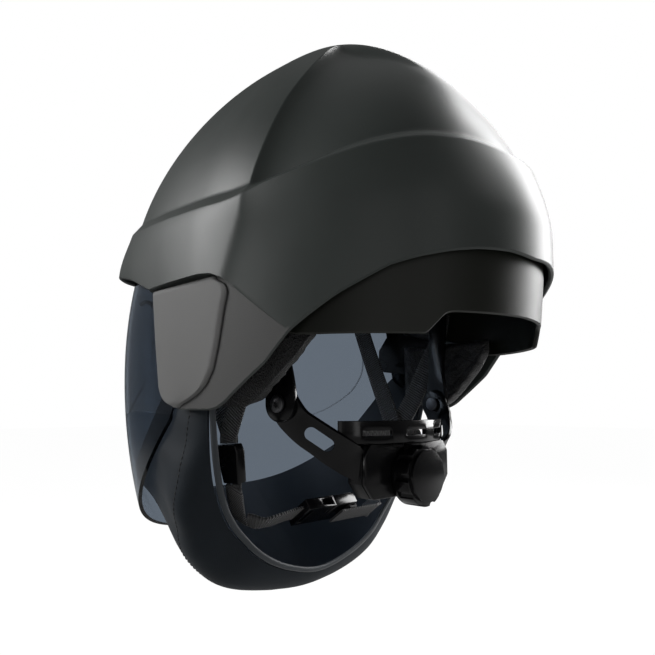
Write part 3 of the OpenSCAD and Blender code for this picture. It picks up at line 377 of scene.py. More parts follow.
# The wings below the step are grained like the covers, in a darker copy of the covers' plastic whose lower
# colour is painted shade
shell_skin.data.materials.append(wing_painted_shade_finish)
for face in shell_skin.data.polygons[:(len(shell_out) - 1) * len(shell_turns)]:
    at = face.center / MM
    turn = abs(math.degrees(math.atan2(at.x, -at.y)))
    if 60 < turn < 129 and at.z < wing_top - float(read(wing_step, turn, 1)) - 0.35:
        face.material_index = 1

# Side covers: separate panels in a pale grained plastic that clip on the wings over the
# lens hinges. Their edges are drawn down and the rear edge is a soft raised roll.
# By height: where the front edge and the rear edge lie
cover_front = [(-96, -19), (-94, -26), (-91, -31.5), (-85, -36), (-58, -41), (-26, -46)]
cover_rear = [(-96, -16.5), (-94, -12), (-92, -5), (-89, 3), (-84, 11), (-76, 17), (-63, 21), (-45, 25),
              (-37, 27.5), (-33, 26), (-30.5, 22), (-29, 17)]
cover_top = -27.8
cover_foot = -96.0
cover_thick, cover_rear_thick = 3.2, 1.9
cover_seat = 0.2
both_sides = (("left", 1), ("right", -1))


def slab_points(front, back):
    """The points of two grids, the front one first."""
    return np.concatenate([front.reshape(-1, 3), back.reshape(-1, 3)])


def slab_faces(rows, cols):
    """Faces of a closed slab between two open grids; the front grid's faces point outward."""
    n = rows * cols
    faces = grid_quads(rows, cols) + grid_quads(rows, cols, n, flip=True)
    edge = [(0, j) for j in range(cols)] + [(i, cols - 1) for i in range(1, rows)]
    edge += [(rows - 1, j) for j in range(cols - 2, -1, -1)] + [(i, 0) for i in range(rows - 2, 0, -1)]
    ring = [i * cols + j for i, j in edge]
    return faces + [(a, b, b + n, a + n) for a, b in zip(ring, ring[1:] + ring[:1])]


def turned(faces, side=-1):
    """The faces as they are on the left, and turned round for the mirrored right."""
    return faces if side > 0 else [f[::-1] for f in faces]


def net(rows, cols, first, last):
    """Row values from first to last and column shares from zero to one, as whole grids."""
    down = np.linspace(first, last, rows)[:, None] + np.zeros((1, cols))
    return down, np.linspace(0, 1, cols)[None, :] + np.zeros((rows, 1))


cover_rows, cover_cols = 64, 44
cover_share, cover_s = net(cover_rows, cover_cols, 0, 1)
cover_z = mix(cover_top, cover_foot, cover_share ** 0.9)
cover_y = mix(read(cover_front, cover_z, 1.5), read(cover_rear, cover_z, 1.5), cover_s)
cover_width = read(cover_rear, cover_z, 1.5) - read(cover_front, cover_z, 1.5)
cover_rise = mix(cover_thick, cover_rear_thick, ease(0.2, 1, cover_s))
for inset, reach, drop in ((cover_s * cover_width, 2, 0.5), ((1 - cover_s) * cover_width, 2, 0.65),
                           (cover_top - cover_z, 1.2, 0.3), (cover_z - cover_foot, 2.5, 0.5)):
    cover_rise = cover_rise * (1 - drop * ease(reach, 0, inset))
cover_back = np.stack([wing_x(cover_y, cover_z) + cover_seat, cover_y, cover_z], -1)
cover_face = cover_back + np.stack([cover_rise, 0 * cover_y, 0 * cover_y], -1)
for word, side in both_sides:
    cover = add_piece("cover_panel_" + word, slab_points(cover_face, cover_back) * (side, 1, 1),
                      turned(slab_faces(cover_rows, cover_cols), side), "helmet",
                      cover_finish, 40)
    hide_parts("side_cover_" + word)

# Inner shell: the cap that carries liner and headgear, moulded in the same dark plastic.
# Its rear is the neck band that shows below the outer shell and arches over the nape.
inner_wall = 2.5
inner_height = 102
# By turn from the front: how far out the cap reaches, and how high its rim lies
inner_plan = [(0, 118), (30, 112), (50, 103), (70, 93.5), (80, 90.5), (90, 89.5), (105, 92), (120, 99),
              (135, 106), (150, 112), (165, 117), (180, 119)]
inner_rim = [(0, 8), (50, 8), (62, 2), (72, -12), (82, -30), (92, -40), (102, -44), (112, -50), (120, -57),
             (124, -60), (130, -60.5), (154.5, -61), (158.5, -51.5), (160, -50.5), (180, -50)]


def inner_reach(turn, el):
    """The inner shell's outside: an oval cap that meets the outer shell behind the ears."""
    t = np.abs(turn)
    level = read(inner_plan, t, 4)
    dome = 1 / np.sqrt((cos(el) / level) ** 2 + (np.maximum(sin(el), 0) / inner_height) ** 2)
    cap = np.where(el >= 0, dome, level / cos(el))
    band = skin_reach(turn, el, shell_wall) - 5.5 - 0.08 * np.maximum(0, -20 - cap * sin(el))
    return mix(cap, band, ease(102, 128, t) * ease(28, 8, cap * sin(el)))


inner_turns = whole_ring(np.concatenate([
    np.arange(0, 120, 2.5), np.arange(120, 150, 1.5), np.arange(150, 164, 0.5), np.arange(164, 181, 2.0)]))
inner_foot = read(inner_rim, np.abs(inner_turns), 0.6)
inner_brim = 30


def inner_rings(reach, rows_up, rows_down):
    """Rings from the top to the brim's height and from there to the rim."""
    top = rise_to(reach, inner_turns, inner_brim + 0 * inner_turns)
    heights = [mix(inner_brim, inner_foot, k / rows_down) for k in range(1, rows_down + 1)]
    rises = [mix(90, top, k / rows_up) for k in range(1, rows_up + 1)]
    rises += [rise_to(reach, inner_turns, z) for z in heights]
    return np.array([polar(inner_turns, el, reach(inner_turns, el)) for el in rises])


inner_out = inner_rings(inner_reach, 26, 30)
inner_in = inward(inner_out[::2], inner_reach, inner_wall)
inner_edge = inward(inner_out[-1:], inner_reach, inner_wall)
band_finish = moulded("neck_band_satin", (0.008, 0.009, 0.006), 0.45, 0.05, 1300.0, 0.00002, 0.4, 0.35)
neck_band = dome_piece("inner_cap", inner_out, np.concatenate([inner_in[:-1], inner_edge]), inner_height,
                       inner_height - inner_wall, "helmet", band_finish, 30)
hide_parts("inner_shell")

# Impact liner: a moulded foam cap glued in the crown, with shallow grooves that run down
# from its top. Only its lower edge shows from below.


def foam_group():
    """Foam or padded cloth: soft pores and creases as height, with painted shade and highlight that make the
    colour darker in the creases' hollows and paler on their ridges.
    """
    group, given, out = surface_group("foam_surface", ("Colour", "Pore scale", "Crease scale", "Crease"),
                                      ("Colour", "Height"))
    place = new_node(group, "TexCoord").outputs["Object"]
    pores = new_node(group, "TexVoronoi", {"Vector": place, "Scale": given["Pore scale"]})
    creases = {"Vector": place, "Scale": given["Crease scale"], "Detail": 6.0, "Distortion": 0.8}
    folds = new_node(group, "TexNoise", creases).outputs["Fac"]
    height = worked(group, "MULTIPLY_ADD", folds, given["Crease"], pores.outputs["Distance"])
    # Painted shade and highlight: the colour follows the crease noise that raises the height, darker in the
    # hollows and paler on the ridges
    level = new_node(group, "MapRange", {"Value": folds, "To Min": 0.75, "To Max": 1.3}).outputs["Result"]
    group.links.new(height, out["Height"])
    group.links.new(scaled(group, given["Colour"], level), out["Colour"])
    return group


foam_surface = foam_group()


def padding(name, colour, roughness, pore_scale, crease_scale, crease, depth, sheen=0.2):
    given = {"Pore scale": pore_scale, "Crease scale": crease_scale, "Crease": crease}
    return surfaced(name, colour, foam_surface, given, depth, {"Roughness": roughness, "Sheen Weight": sheen})


liner_finish = padding("liner_foam", (0.03, 0.03, 0.032), 0.8, 900.0, 40.0, 1.0, 0.0002)
liner_gap = inner_wall + 1.8
liner_thick = 9
liner_groove = 0.6
liner_turns = whole_ring(np.arange(0, 181, 3.0))
liner_rises = [mix(90, 18, k / 24) for k in range(1, 25)]


def liner_rings(depth, groove):
    """Rings at a depth below the inner shell, with grooves that run down from the top."""
    waves = groove * (1 + cos(liner_turns * 12))
    return np.array([polar(liner_turns, el, inner_reach(liner_turns, el) - depth + waves * ease(85, 60, el))
                     for el in liner_rises])


liner_top = inner_height - liner_gap
liner = dome_piece("crown_liner", liner_rings(liner_gap, 0),
                   liner_rings(liner_gap + liner_thick, liner_groove), liner_top, liner_top - liner_thick,
                   "helmet", liner_finish, 50)
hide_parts("impact_liner")

# Lens: one bubble of blue-grey polycarbonate that reaches from ear to ear, with a lip along
# its foot. It turns on the hinges under the side covers and slides up between the shells.
hinge_y, hinge_z = 8.0, -62.0
lens_reach, lens_half, lens_thick, lens_power, lens_flare = 172.5, 101.0, 2.5, 3.5, 0.042
lens_lip = -42.0
# By distance from the hinge line: the angle at which the lens ends above
lens_top = [(24, 40), (60, 38), (80, 33), (100, 29), (110, 26), (125, 23), (172.5, 23)]


def lens_r(x):
    """How far from the hinge line the lens lies at x from the centre plane."""
    return lens_reach * np.maximum(0, 1 - (np.abs(x) / lens_half) ** lens_power) ** (1 / lens_power)


def lens_x(r):
    """How far from the centre plane the lens lies at r from the hinge line."""
    share = np.minimum(r, lens_reach) / lens_reach
    return lens_half * np.maximum(0, 1 - share ** lens_power) ** (1 / lens_power)


def lens_at(x, r, th, inset):
    """A point of the lens at x and r, raised by the angle th, set in from the outside by inset."""
    nx = (np.abs(x) / lens_half) ** (lens_power - 1) / lens_half * np.sign(x)
    nr = (r / lens_reach) ** (lens_power - 1) / lens_reach
    k = np.hypot(nx, nr)
    out = r * (1 + lens_flare * np.clip(-th / 35, 0, 2) ** 2) - inset * nr / k
    return np.stack([x - inset * nx / k, hinge_y - out * cos(th), hinge_z + out * sin(th)], -1)


def lens_tint():
    """Tinted polycarbonate; shadow rays pass straight through with the tint."""
    material = bpy.data.materials.new("lens_polycarbonate")
    material.use_nodes = True
    material.diffuse_color = (0.2, 0.27, 0.36, 0.5)
    tree = material.node_tree
    shader = tree.nodes["Principled BSDF"]
    for word, value in (("Base Color", (0.120, 0.145, 0.178, 1)), ("Transmission Weight", 1.0),
                        ("Roughness", 0.03), ("IOR", 1.25)):
        shader.inputs[word].default_value = value
    clear = new_node(tree, "BsdfTransparent", {"Color": (0.55, 0.58, 0.63, 1)})
    shadow = new_node(tree, "LightPath").outputs["Is Shadow Ray"]
    blend = new_node(tree, "MixShader", {0: shadow, 1: shader.outputs["BSDF"], 2: clear.outputs["BSDF"]})
    tree.links.new(blend.outputs[0], tree.nodes["Material Output"].inputs["Surface"])
    return material


lens_finish = lens_tint()
x_side = np.concatenate([np.linspace(0, 90, 46), np.linspace(91, 97, 9)])
r_side = np.linspace(lens_r(97.3), 24, 26)
lens_xs = np.concatenate([x_side, lens_x(r_side)])
lens_rs = np.concatenate([lens_r(x_side), r_side])
lens_xs = np.concatenate([-lens_xs[:0:-1], lens_xs])
lens_rs = np.concatenate([lens_rs[:0:-1], lens_rs])
lens_rows = 48


def lens_sheet(inset):
    """The lens's grid from its top edge down to the lip, set in from the outside."""
    foot, top = lens_lip * (1 - 0.35 * ease(60, 20, lens_rs)), read(lens_top, lens_rs, 5)
    rows = [mix(top, foot, share) for share in np.linspace(0, 1, lens_rows)]
    return np.array([lens_at(lens_xs, lens_rs, row, inset) for row in rows])


lens = add_piece("lens_bubble", slab_points(lens_sheet(0), lens_sheet(lens_thick)),
                 slab_faces(lens_rows, len(lens_xs)), "visor", lens_finish, 50)
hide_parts("visor_lens")

# Lens mouldings: the dark rounded frame inside the lens's rear corner and the raised line
# that runs from it to the guard's seam, both bonded to the inside of the lens.


def curve_at(a, b, c, d, t):
    """A point between b and c on a smooth curve through four points."""
    bend = 2 * a - 5 * b + 4 * c - d
    return 0.5 * (2 * b + (c - a) * t + bend * t * t + (3 * b - a - 3 * c + d) * t ** 3)


def smooth_path(points, step):
    """Points spaced about step apart on a smooth curve through the given ones."""
    pts = np.asarray(points, float)
    ext = np.concatenate([[2 * pts[0] - pts[1]], pts, [2 * pts[-1] - pts[-2]]])
    out = []
    for a, b, c, d in zip(ext, ext[1:], ext[2:], ext[3:]):
        n = max(2, int(np.linalg.norm(c - b) / step))
        out += [curve_at(a, b, c, d, t) for t in np.arange(n) / n]
    return np.array(out + [pts[-1]])


def unit(v):
    return v / np.maximum(np.linalg.norm(v, axis=-1, keepdims=True), 1e-9)


def square_to(across, run):
    """Width directions made square to the run of a path."""
    wide = np.broadcast_to(across, run.shape)
    return unit(wide - (wide * run).sum(-1, keepdims=True) * run)


def tube_faces(rows, cols):
    """Faces of a closed tube of rings with flat ends."""
    ends = [tuple(range(cols)), tuple(range(rows * cols - 1, (rows - 1) * cols - 1, -1))]
    return grid_quads(rows, cols, wrap=True, flip=True) + ends


def swept(path, across, outline):
    """Rings of an outline swept along a path, and their faces with closed ends.
    The outline's first number is across the path and its second one out of it."""
    run = unit(np.gradient(path, axis=0))
    wide = square_to(across, run)
    out = np.cross(run, wide)
    rings = np.array([path + wide * a + out * b for a, b in outline]).transpose(1, 0, 2)
    return rings, tube_faces(*rings.shape[:2])


def round_outline(radius, sides):
    """Points round a circle, as an outline to sweep."""
    turns = np.arange(sides) * 360 / sides
    return np.stack([radius * cos(turns), radius * sin(turns)], -1)


def lens_path(rows, inset, side):
    """A smooth path inside the lens through rows of distance from the hinge line and angle."""
    fine = smooth_path(rows, 1.5)
    return lens_at(lens_x(fine[:, 0]), fine[:, 0], fine[:, 1], lens_thick + inset) * (side, 1, 1)


trim_rows = [(108, 19), (98, 21), (87, 21.5), (77, 20), (69, 15), (64, 7), (61, -3), (60, -12), (61, -20)]
line_rows = [(84, 22), (79, 15.5), (73.5, 7.5), (72.3, 0), (76.3, -7.5), (88.5, -14.3), (112, -17.8),
             (136, -18.5)]
line_outline = [(0.9, 0), (0.5, 0.45), (-0.5, 0.45), (-0.9, 0), (-0.5, -0.3), (0.5, -0.3)]
trim_across = (0.1, 1, 0.2)
trim_radius = 1.4
trim_finish = moulded("trim_black", (0.012, 0.013, 0.015), 0.32, 0.05, 1500.0, 0.00002, 0.4)
line_finish = moulded("moulded_line", (0.02, 0.026, 0.034), 0.35, 0.05, 1500.0, 0.00001, 0.0)
line_finish.node_tree.nodes["Principled BSDF"].inputs["Alpha"].default_value = 0.3
for word, side in both_sides:
    rings, faces = swept(lens_path(trim_rows, 1.7, side), trim_across, round_outline(trim_radius, 12))
    trim = add_piece("lens_frame_" + word, rings, faces, "visor", trim_finish, 50)
    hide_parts("lens_trim_" + word)
    rings, faces = swept(lens_path(line_rows, 0.15, side), trim_across, line_outline)
    add_piece("lens_line_" + word, rings, faces, "visor", line_finish, 50)

# Chin guard: coated slate-grey fabric, sewn to the lens's inside along its lip, bellied under
# the chin and closed by a taped edge round the jaw. A row of stitches holds its lining.
# Stations from the centre plane to the hinge: the seam on the lens by width, distance from
# the hinge line and angle, the rear rim, and how the cloth leaves the seam and the rim.
guard_seam = [(0, 172.5, -34), (30, 170, -34), (54, 163, -34), (71, 150, -34), (83, 133, -34),
              (90.5, 114, -34), (95.3, 97, -33), (98.4, 78, -30), (99.9, 60, -25), (100.7, 40, -16)]
lens_front = 171.5
rim_points = [(0, -17, -202), (28, -16, -196.5), (50, -15, -186), (65, -15.5, -173), (76, -14.5, -160),
              (84, -12, -145), (90, -8.5, -128), (94, -5.5, -111.5), (96.2, -3.5, -97), (96.7, -2, -84)]
seam_pull = [(0, 40, -46), (0, 53, -42), (0, 61, -32), (0, 63, -19), (0, 61, -8), (0, 53, -6), (0, 37, -12),
             (0, 22, -15), (0, 10, -13), (0, 3, -9)]
rim_pull = [(0, -18, -31), (8.5, -21, -36), (25, -22, -38), (33, -21.5, -31), (33, -21, -23), (30, -19, -16),
            (19, -16, -9), (9.5, -13, -5), (4, -9, -3), (1, -6, -1)]
guard_thick = 2.0


def along(rows, u):
    """A smooth curve through the rows, read at u, and level where it crosses the centre plane."""
    rows = np.asarray(rows, float)
    i = int(max(0, min(len(rows) - 2, math.floor(u))))
    mirror = np.where(np.arange(rows.shape[1]) == 0, -1.0, 1.0)
    rows = np.concatenate([rows[1:2] * mirror, rows, 2 * rows[-1:] - rows[-2:-1]])
    return curve_at(*rows[i:i + 4], u - i)


def guard_line(u, steps):
    """Points of the guard from the lens (first) to its rear rim (last) at one station."""
    station = abs(u)
    x, r, th = along(guard_seam, station)
    if r > lens_front:
        r = lens_r(x)
    else:
        x = lens_x(r)
    seam, rim = lens_at(x, r, th, lens_thick + 0.5), along(rim_points, station)
    off_seam, off_rim = seam + along(seam_pull, station), rim + along(rim_pull, station)
    v = steps[:, None]
    w = 1 - v
    line = w ** 3 * seam + 3 * w * w * v * off_seam + 3 * w * v * v * off_rim + v ** 3 * rim
    return line * (-1 if u < 0 else 1, 1, 1)


def run_along(points, axis=0):
    """The length run up to each point, along a path or along one way of a grid."""
    steps = np.linalg.norm(np.diff(points, axis=axis), axis=-1)
    return np.cumsum(np.insert(steps, 0, 0, axis=axis), axis=axis)


def grid_normals(grid):
    """Outward directions of a grid's surface, one for each point."""
    return unit(np.cross(np.gradient(grid, axis=0), np.gradient(grid, axis=1)))


def cloth_group():
    """Woven cloth in the piece's own weave coordinates, which are in metres: threads both ways and, for
    webbing, ribs across it, with painted shade in the weave's grooves and a paler tone on raised threads and
    ribs."""
    group, given, out = surface_group("woven_surface", ("Colour", "Thread", "Rib", "Rib height", "Fade"),
                                      ("Colour", "Height"))
    place = new_node(group, "TexCoord").outputs
    weave = new_node(group, "SeparateXYZ", {0: place["UV"]}).outputs

    def wave(way, rate):
        return worked(group, "SINE", worked(group, "MULTIPLY", weave[way], given[rate]))

    threads = worked(group, "MULTIPLY", wave("X", "Thread"), wave("Y", "Thread"))
    ribs = worked(group, "MULTIPLY", wave("Y", "Rib"), given["Rib height"])
    height = worked(group, "MULTIPLY_ADD", threads, 0.4, ribs)
    patches = {"Vector": place["Object"], "Scale": 35.0, "Detail": 5.0}
    cloud = new_node(group, "TexNoise", patches).outputs["Fac"]
    fade = worked(group, "MULTIPLY", spread(group, cloud, 0.3, 0.7), given["Fade"])
    # Painted shade and highlight: the colour follows the weave's height, darker in its grooves and paler on
    # raised threads and ribs; the faded patches are a random tone
    level = worked(group, "ADD", worked(group, "MULTIPLY_ADD", height, 0.15, fade), 1.0)
    group.links.new(height, out["Height"])
    group.links.new(scaled(group, given["Colour"], level), out["Colour"])
    return group


woven_surface = cloth_group()


def woven(name, colour, roughness, thread, rib, rib_height, depth, fade=0.08, sheen=0.3):
    given = {"Thread": 2 * math.pi / thread, "Rib": 2 * math.pi / rib, "Rib height": rib_height, "Fade": fade}
    shading = {"Roughness": roughness, "Sheen Weight": sheen}
    return surfaced(name, colour, woven_surface, given, depth, shading)


guard_finish = woven("guard_coated_cloth", (0.011, 0.016, 0.022), 0.6, 0.0009, 0.0018, 0.0, 0.00003, 0.12,
                     0.03)
guard_finish.node_tree.nodes["Principled BSDF"].inputs["Specular IOR Level"].default_value = 0.2
guard_rows, guard_cols = 49, 181
guard_us = np.linspace(-9, 9, guard_cols)
guard_vs = np.linspace(0, 1, guard_rows)
guard_face = np.array([guard_line(u, guard_vs) for u in guard_us]).transpose(1, 0, 2)
guard_out = grid_normals(guard_face)
# The cloth's soft folds: shallow waves that run from the seam and die out towards the rim
fold = 0.4 * np.sin(guard_us * 2.3 + guard_vs[:, None] * 3.0) + 0.28 * np.sin(guard_us * 4.1 + 1.3)
fold = fold * (ease(0, 0.25, guard_vs) * ease(1, 0.6, guard_vs))[:, None]
guard_face = guard_face + guard_out * fold[..., None]
guard_back = guard_face - grid_normals(guard_face) * guard_thick
guard_uv = np.stack([run_along(guard_face, 1), run_along(guard_face)], -1).reshape(-1, 2) * MM
guard = add_piece("guard_cloth", slab_points(guard_face, guard_back), slab_faces(guard_rows, guard_cols),
                  "visor", guard_finish, 60, np.concatenate([guard_uv, guard_uv]))
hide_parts("chin_guard")

# Guard stitching: short dark stitches in one row over the cheeks and under the chin, about
# halfway from the lens to the rim, which hold the cloth's lining.
stitch_finish = woven("guard_thread", (0.004, 0.005, 0.006), 0.7, 0.0004, 0.001, 0.3, 0.00005)
stitch_us = np.linspace(-8.6, 8.6, 900)
stitch_vs = 0.56 + 0.10 * ease(2.5, 6, np.abs(stitch_us))
stitch_length, stitch_pitch, stitch_rise, thread_radius = 2.2, 3.4, 0.22, 0.22


def on_cloth(grid):
    """The guard grid's values along the stitch row."""
    k = np.clip(stitch_vs * (guard_rows - 1), 0, guard_rows - 1.001)
    low = np.floor(k).astype(int)
    near, far = (np.array([[np.interp(u, guard_us, grid[row, :, c]) for c in range(3)]
                           for u, row in zip(stitch_us, low + up)]) for up in (0, 1))
    return mix(near, far, (k - low)[:, None])


stitch_row, stitch_out = on_cloth(guard_face), unit(on_cloth(guard_out))
stitch_run = run_along(stitch_row)
stitch_points, stitch_faces = [], []
for start in np.arange(1.0, stitch_run[-1] - 3.5, stitch_pitch):
    at = np.linspace(start, start + stitch_length, 4)
    path, up = (np.stack([np.interp(at, stitch_run, row[:, c]) for c in range(3)], -1)
                for row in (stitch_row, stitch_out))
    path = path + unit(up) * np.array([0.0, stitch_rise, stitch_rise, 0.0])[:, None]
    across = np.cross(unit(up), unit(np.gradient(path, axis=0)))
    rings, faces = swept(path, across, round_outline(thread_radius, 6))
    base = len(stitch_points) * rings.size // 3
    stitch_points.append(rings.reshape(-1, 3))
    stitch_faces += [tuple(i + base for i in f) for f in faces]
add_piece("guard_stitches", np.concatenate(stitch_points), stitch_faces, "visor",
          stitch_finish, 60)

# Guard binding: smooth, paler tape folded round the guard's rear edge and sewn through. It
# is one rounded strip that runs under the chin from one end of the lens to the other.
binding_finish = woven("guard_tape", (0.030, 0.037, 0.045), 0.5, 0.0007, 0.0018, 0.0, 0.00003, 0.06, 0.2)
tape_half, tape_thick, tape_sides = 1.9, 1.35, 16
rim_ends = np.array([guard_line(u, np.array([0.94, 1.0])) for u in guard_us])
rim_out = unit(rim_ends[:, 1] - rim_ends[:, 0])
tape_path = rim_ends[:, 1] + 2.5 * rim_out
tape_path[:, 0] -= 0.9 * np.tanh(guard_us)
rings, faces = swept(tape_path, rim_out, round_outline(1, tape_sides) * (tape_half, tape_thick))
tape_uv = np.broadcast_arrays(np.linspace(0, 0.012, tape_sides)[None, :], run_along(tape_path)[:, None] * MM)
binding = add_piece("guard_tape", rings, faces, "visor", binding_finish, 60, np.stack(tape_uv, -1))
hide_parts("guard_binding")

# Headgear, hinges, dividers and buckle: glass-filled nylon mouldings and steel fasteners.
# Each keeps its CAD shape, with the small radii that a mould or a turned edge leaves.


def eased_copy(node, body, material, width=0.4, segments=2):
    """A copy of a CAD node whose edges are rounded by width, in millimetres."""
    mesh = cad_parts[node].data.copy()
    piece = bpy.data.objects.new(node + "_eased", mesh)
    bpy.context.collection.objects.link(piece)
    mesh.materials.clear()
    mesh.materials.append(material)
    bpy.context.view_layer.objects.active = piece
    weld = piece.modifiers.new("weld", "WELD")
    weld.merge_threshold = 0.00001
    flat = piece.modifiers.new("flat", "DECIMATE")
    flat.decimate_type = "DISSOLVE"
    flat.angle_limit = math.radians(1.0)
    edge = piece.modifiers.new("edge", "BEVEL")
    edge.width = width * MM
    edge.segments = segments
    edge.limit_method = "ANGLE"
    edge.angle_limit = math.radians(35)
    for modifier in [m.name for m in piece.modifiers]:
        bpy.ops.object.modifier_apply(modifier=modifier)
    piece.data.polygons.foreach_set("use_smooth", [True] * len(piece.data.polygons))
    piece.data.set_sharp_from_angle(angle=math.radians(38))
    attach(piece, body)
    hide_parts(node)
    return piece


nylon_gloss = moulded("headgear_nylon", (0.0025, 0.0025, 0.003), 0.16, 0.10, 1400.0, 0.00001, 1.2, 0.32)
nylon_matt = moulded("housing_nylon", (0.003, 0.003, 0.0035), 0.24, 0.10, 1100.0, 0.00002, 0.9, 0.25)
knob_finish = moulded("knob_nylon", (0.0025, 0.0025, 0.003), 0.18, 0.10, 1100.0, 0.00002, 1.2, 0.3)
washer_finish = moulded("washer_rubber", (0.02, 0.02, 0.02), 0.7, 0.10, 800.0, 0.00005, 0.3, 0.3)


def oxide_steel(name, colour, roughness):
    """Dark oxidised steel with a slight mottle and paler rubbed edges."""
    material = moulded(name, colour, roughness, 0.18, 500.0, 0.00003, 1.5)
    material.node_tree.nodes["Principled BSDF"].inputs["Metallic"].default_value = 1.0
    return material


screw_finish = oxide_steel("screw_oxide", (0.10, 0.10, 0.105), 0.38)
for word in ("left", "right"):
    eased_copy("visor_arm_" + word, "visor", nylon_matt, 0.5)
    eased_copy("hinge_bolt_" + word, "helmet", screw_finish, 0.3)
    eased_copy("friction_washer_" + word, "helmet", washer_finish, 0.15)
    eased_copy("hinge_boss_" + word, "helmet", nylon_matt, 0.2)
    eased_copy("hanger_screw_" + word, "helmet", screw_finish, 0.25)
    eased_copy("strap_divider_" + word, "helmet", nylon_matt, 0.9, 3)
    eased_copy("rack_" + word, "rack_" + word, nylon_matt, 0.12, 1)
eased_copy("headband", "helmet", nylon_matt, 0.5)
eased_copy("suspension_hooks", "helmet", nylon_matt, 0.8)
eased_copy("hanger_rivets", "helmet", screw_finish, 0.3)
eased_copy("nape_cradle", "nape", nylon_gloss, 0.5)
eased_copy("ratchet_housing", "nape", nylon_matt, 0.8, 3)
eased_copy("ratchet_cover", "nape", nylon_matt, 0.7, 3)
eased_copy("ratchet_knob", "knob", knob_finish, 0.7, 3)
eased_copy("pinion", "knob", nylon_matt, 0.1, 1)
eased_copy("buckle_socket", "helmet", nylon_gloss, 0.5, 2)
eased_copy("buckle_tongue", "tongue", nylon_gloss, 0.4, 2)

# Hangers and nape arms: glossy nylon blades. Each hanger drops from the headband to a round
# eye, where a screw holds the nape arm, a broader slotted blade that runs to the ratchet.
eye_y, eye_z, eye_turn, eye_radius = 29.4, -94.0, 12.0, 9.9
hanger_half_top, hanger_thick = 6.6, 3.0
hanger_out, hanger_straight, hanger_flare = 71.5, 18, 0.0822
arm_eye, arm_broad, arm_narrow, arm_thick = 10.0, 10.6, 8.2, 2.6
blade_soft = 0.7
slot_half = 3.5


def blade(centres, across, halves, thick):
    """Points and faces of a flat blade with softened edges, from rows of centre, width
    direction and half width."""
    run = unit(np.gradient(centres, axis=0))
    wide = square_to(across, run)
    out = np.cross(run, wide)
    t = thick / 2
    rings = []
    for c, w, o, half in zip(centres, wide, out, halves):
        r = min(blade_soft, half * 0.5)
        edge = np.array([(-half, 0), (0.3 * r - half, t - 0.3 * r), (r - half, t), (0, t), (half - r, t),
                         (half - 0.3 * r, t - 0.3 * r)])
        rings.append([c + w * a + o * b for a, b in np.concatenate([edge, -edge])])
    return np.array(rings), tube_faces(len(rings), 12)


hanger_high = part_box("hanger_arm_left")[1][2] / MM
hanger_rise = np.concatenate([-eye_radius * cos(np.linspace(8, 90, 14)),
                              np.linspace(1, hanger_high - eye_z, 50)])
hanger_eye = np.sqrt(np.maximum(0.3, eye_radius ** 2 - np.minimum(0, hanger_rise) ** 2))
hanger_half = mix(eye_radius, hanger_half_top, ease(3, 26, hanger_rise))
hanger_half = np.where(hanger_rise < 0, hanger_eye, hanger_half)
hanger_x = hanger_out + np.maximum(0, hanger_rise - hanger_straight) * hanger_flare
hanger_twist = eye_turn * ease(45, 12, hanger_rise)
hanger_mid = np.stack([hanger_x, eye_y + 0 * hanger_rise, eye_z + hanger_rise], -1)
hanger_wide = np.stack([-sin(hanger_twist), cos(hanger_twist), 0 * hanger_rise], -1)
# Each row is a point of the arm's middle line and the way its width runs there
arm_line = smooth_path([(68.4, 29.4, -94, 0, 1.0, 0.5), (67.8, 32, -98.8, -0.1, 0.95, 0.55),
                        (65.2, 35.4, -104, 0.05, 0.8, 0.62), (60.6, 39.2, -108.8, 0.2, 0.6, 0.8),
                        (56, 43, -112.8, 0.3, 0.5, 0.9), (50.5, 47.3, -117.5, 0.35, 0.4, 1),
                        (45, 51, -121.8, 0.35, 0.2, 1), (40.6, 53.2, -125, 0.3, 0, 1),
                        (34.4, 56, -129.2, 0.3, 0, 1)], 1.2)
arm_back = unit(arm_line[0, :3] - arm_line[2, :3])
arm_cap = arm_eye * cos(np.linspace(10, 86, 14))
arm_mid = np.concatenate([arm_line[0, :3] + arm_back * arm_cap[:, None], arm_line[:, :3]])
arm_wide = np.concatenate([np.repeat(arm_line[:1, 3:], len(arm_cap), 0), arm_line[:, 3:]])
arm_share = np.linspace(0, 1, len(arm_line))
arm_run_half = mix(mix(arm_eye, arm_broad, ease(0, 0.4, arm_share)), arm_narrow, ease(0.6, 1, arm_share))
arm_half = np.concatenate([np.sqrt(arm_eye ** 2 - arm_cap ** 2), arm_run_half])
slot_path = np.array([(59.5, 40.3, -109.9), (52.5, 46, -115.9)])
slot_through = unit(np.array([0.66, 0.75, 0.05]))


def cut_slot(piece, side):
    """Cuts the long rounded slot through a nape arm."""
    run = unit(slot_path[1] - slot_path[0])
    over = unit(np.cross(slot_through, run))
    ends = ((1, np.linspace(-90, 90, 13)), (0, np.linspace(90, 270, 13)))
    ring = [(end, a) for end, arc in ends for a in arc]
    rim = np.array([slot_path[end] + slot_half * (run * cos(a) + over * sin(a)) for end, a in ring])
    both = np.array([rim - slot_through * 8, rim + slot_through * 8]) * (side, 1, 1)
    mesh = bpy.data.meshes.new("slot_cutter")
    mesh.from_pydata((both.reshape(-1, 3) * MM).tolist(), [], tube_faces(*both.shape[:2]))
    clean = bmesh.new()
    clean.from_mesh(mesh)
    bmesh.ops.recalc_face_normals(clean, faces=clean.faces)
    clean.to_mesh(mesh)
    clean.free()
    cutter = bpy.data.objects.new("slot_cutter", mesh)
    bpy.context.collection.objects.link(cutter)
    cut = piece.modifiers.new("slot", "BOOLEAN")
    cut.operation = "DIFFERENCE"
    cut.solver = "EXACT"
    cut.object = cutter
    bpy.context.view_layer.objects.active = piece
    bpy.ops.object.modifier_apply(modifier=cut.name)
    bpy.data.objects.remove(cutter)
    piece.data.set_sharp_from_angle(angle=math.radians(40))


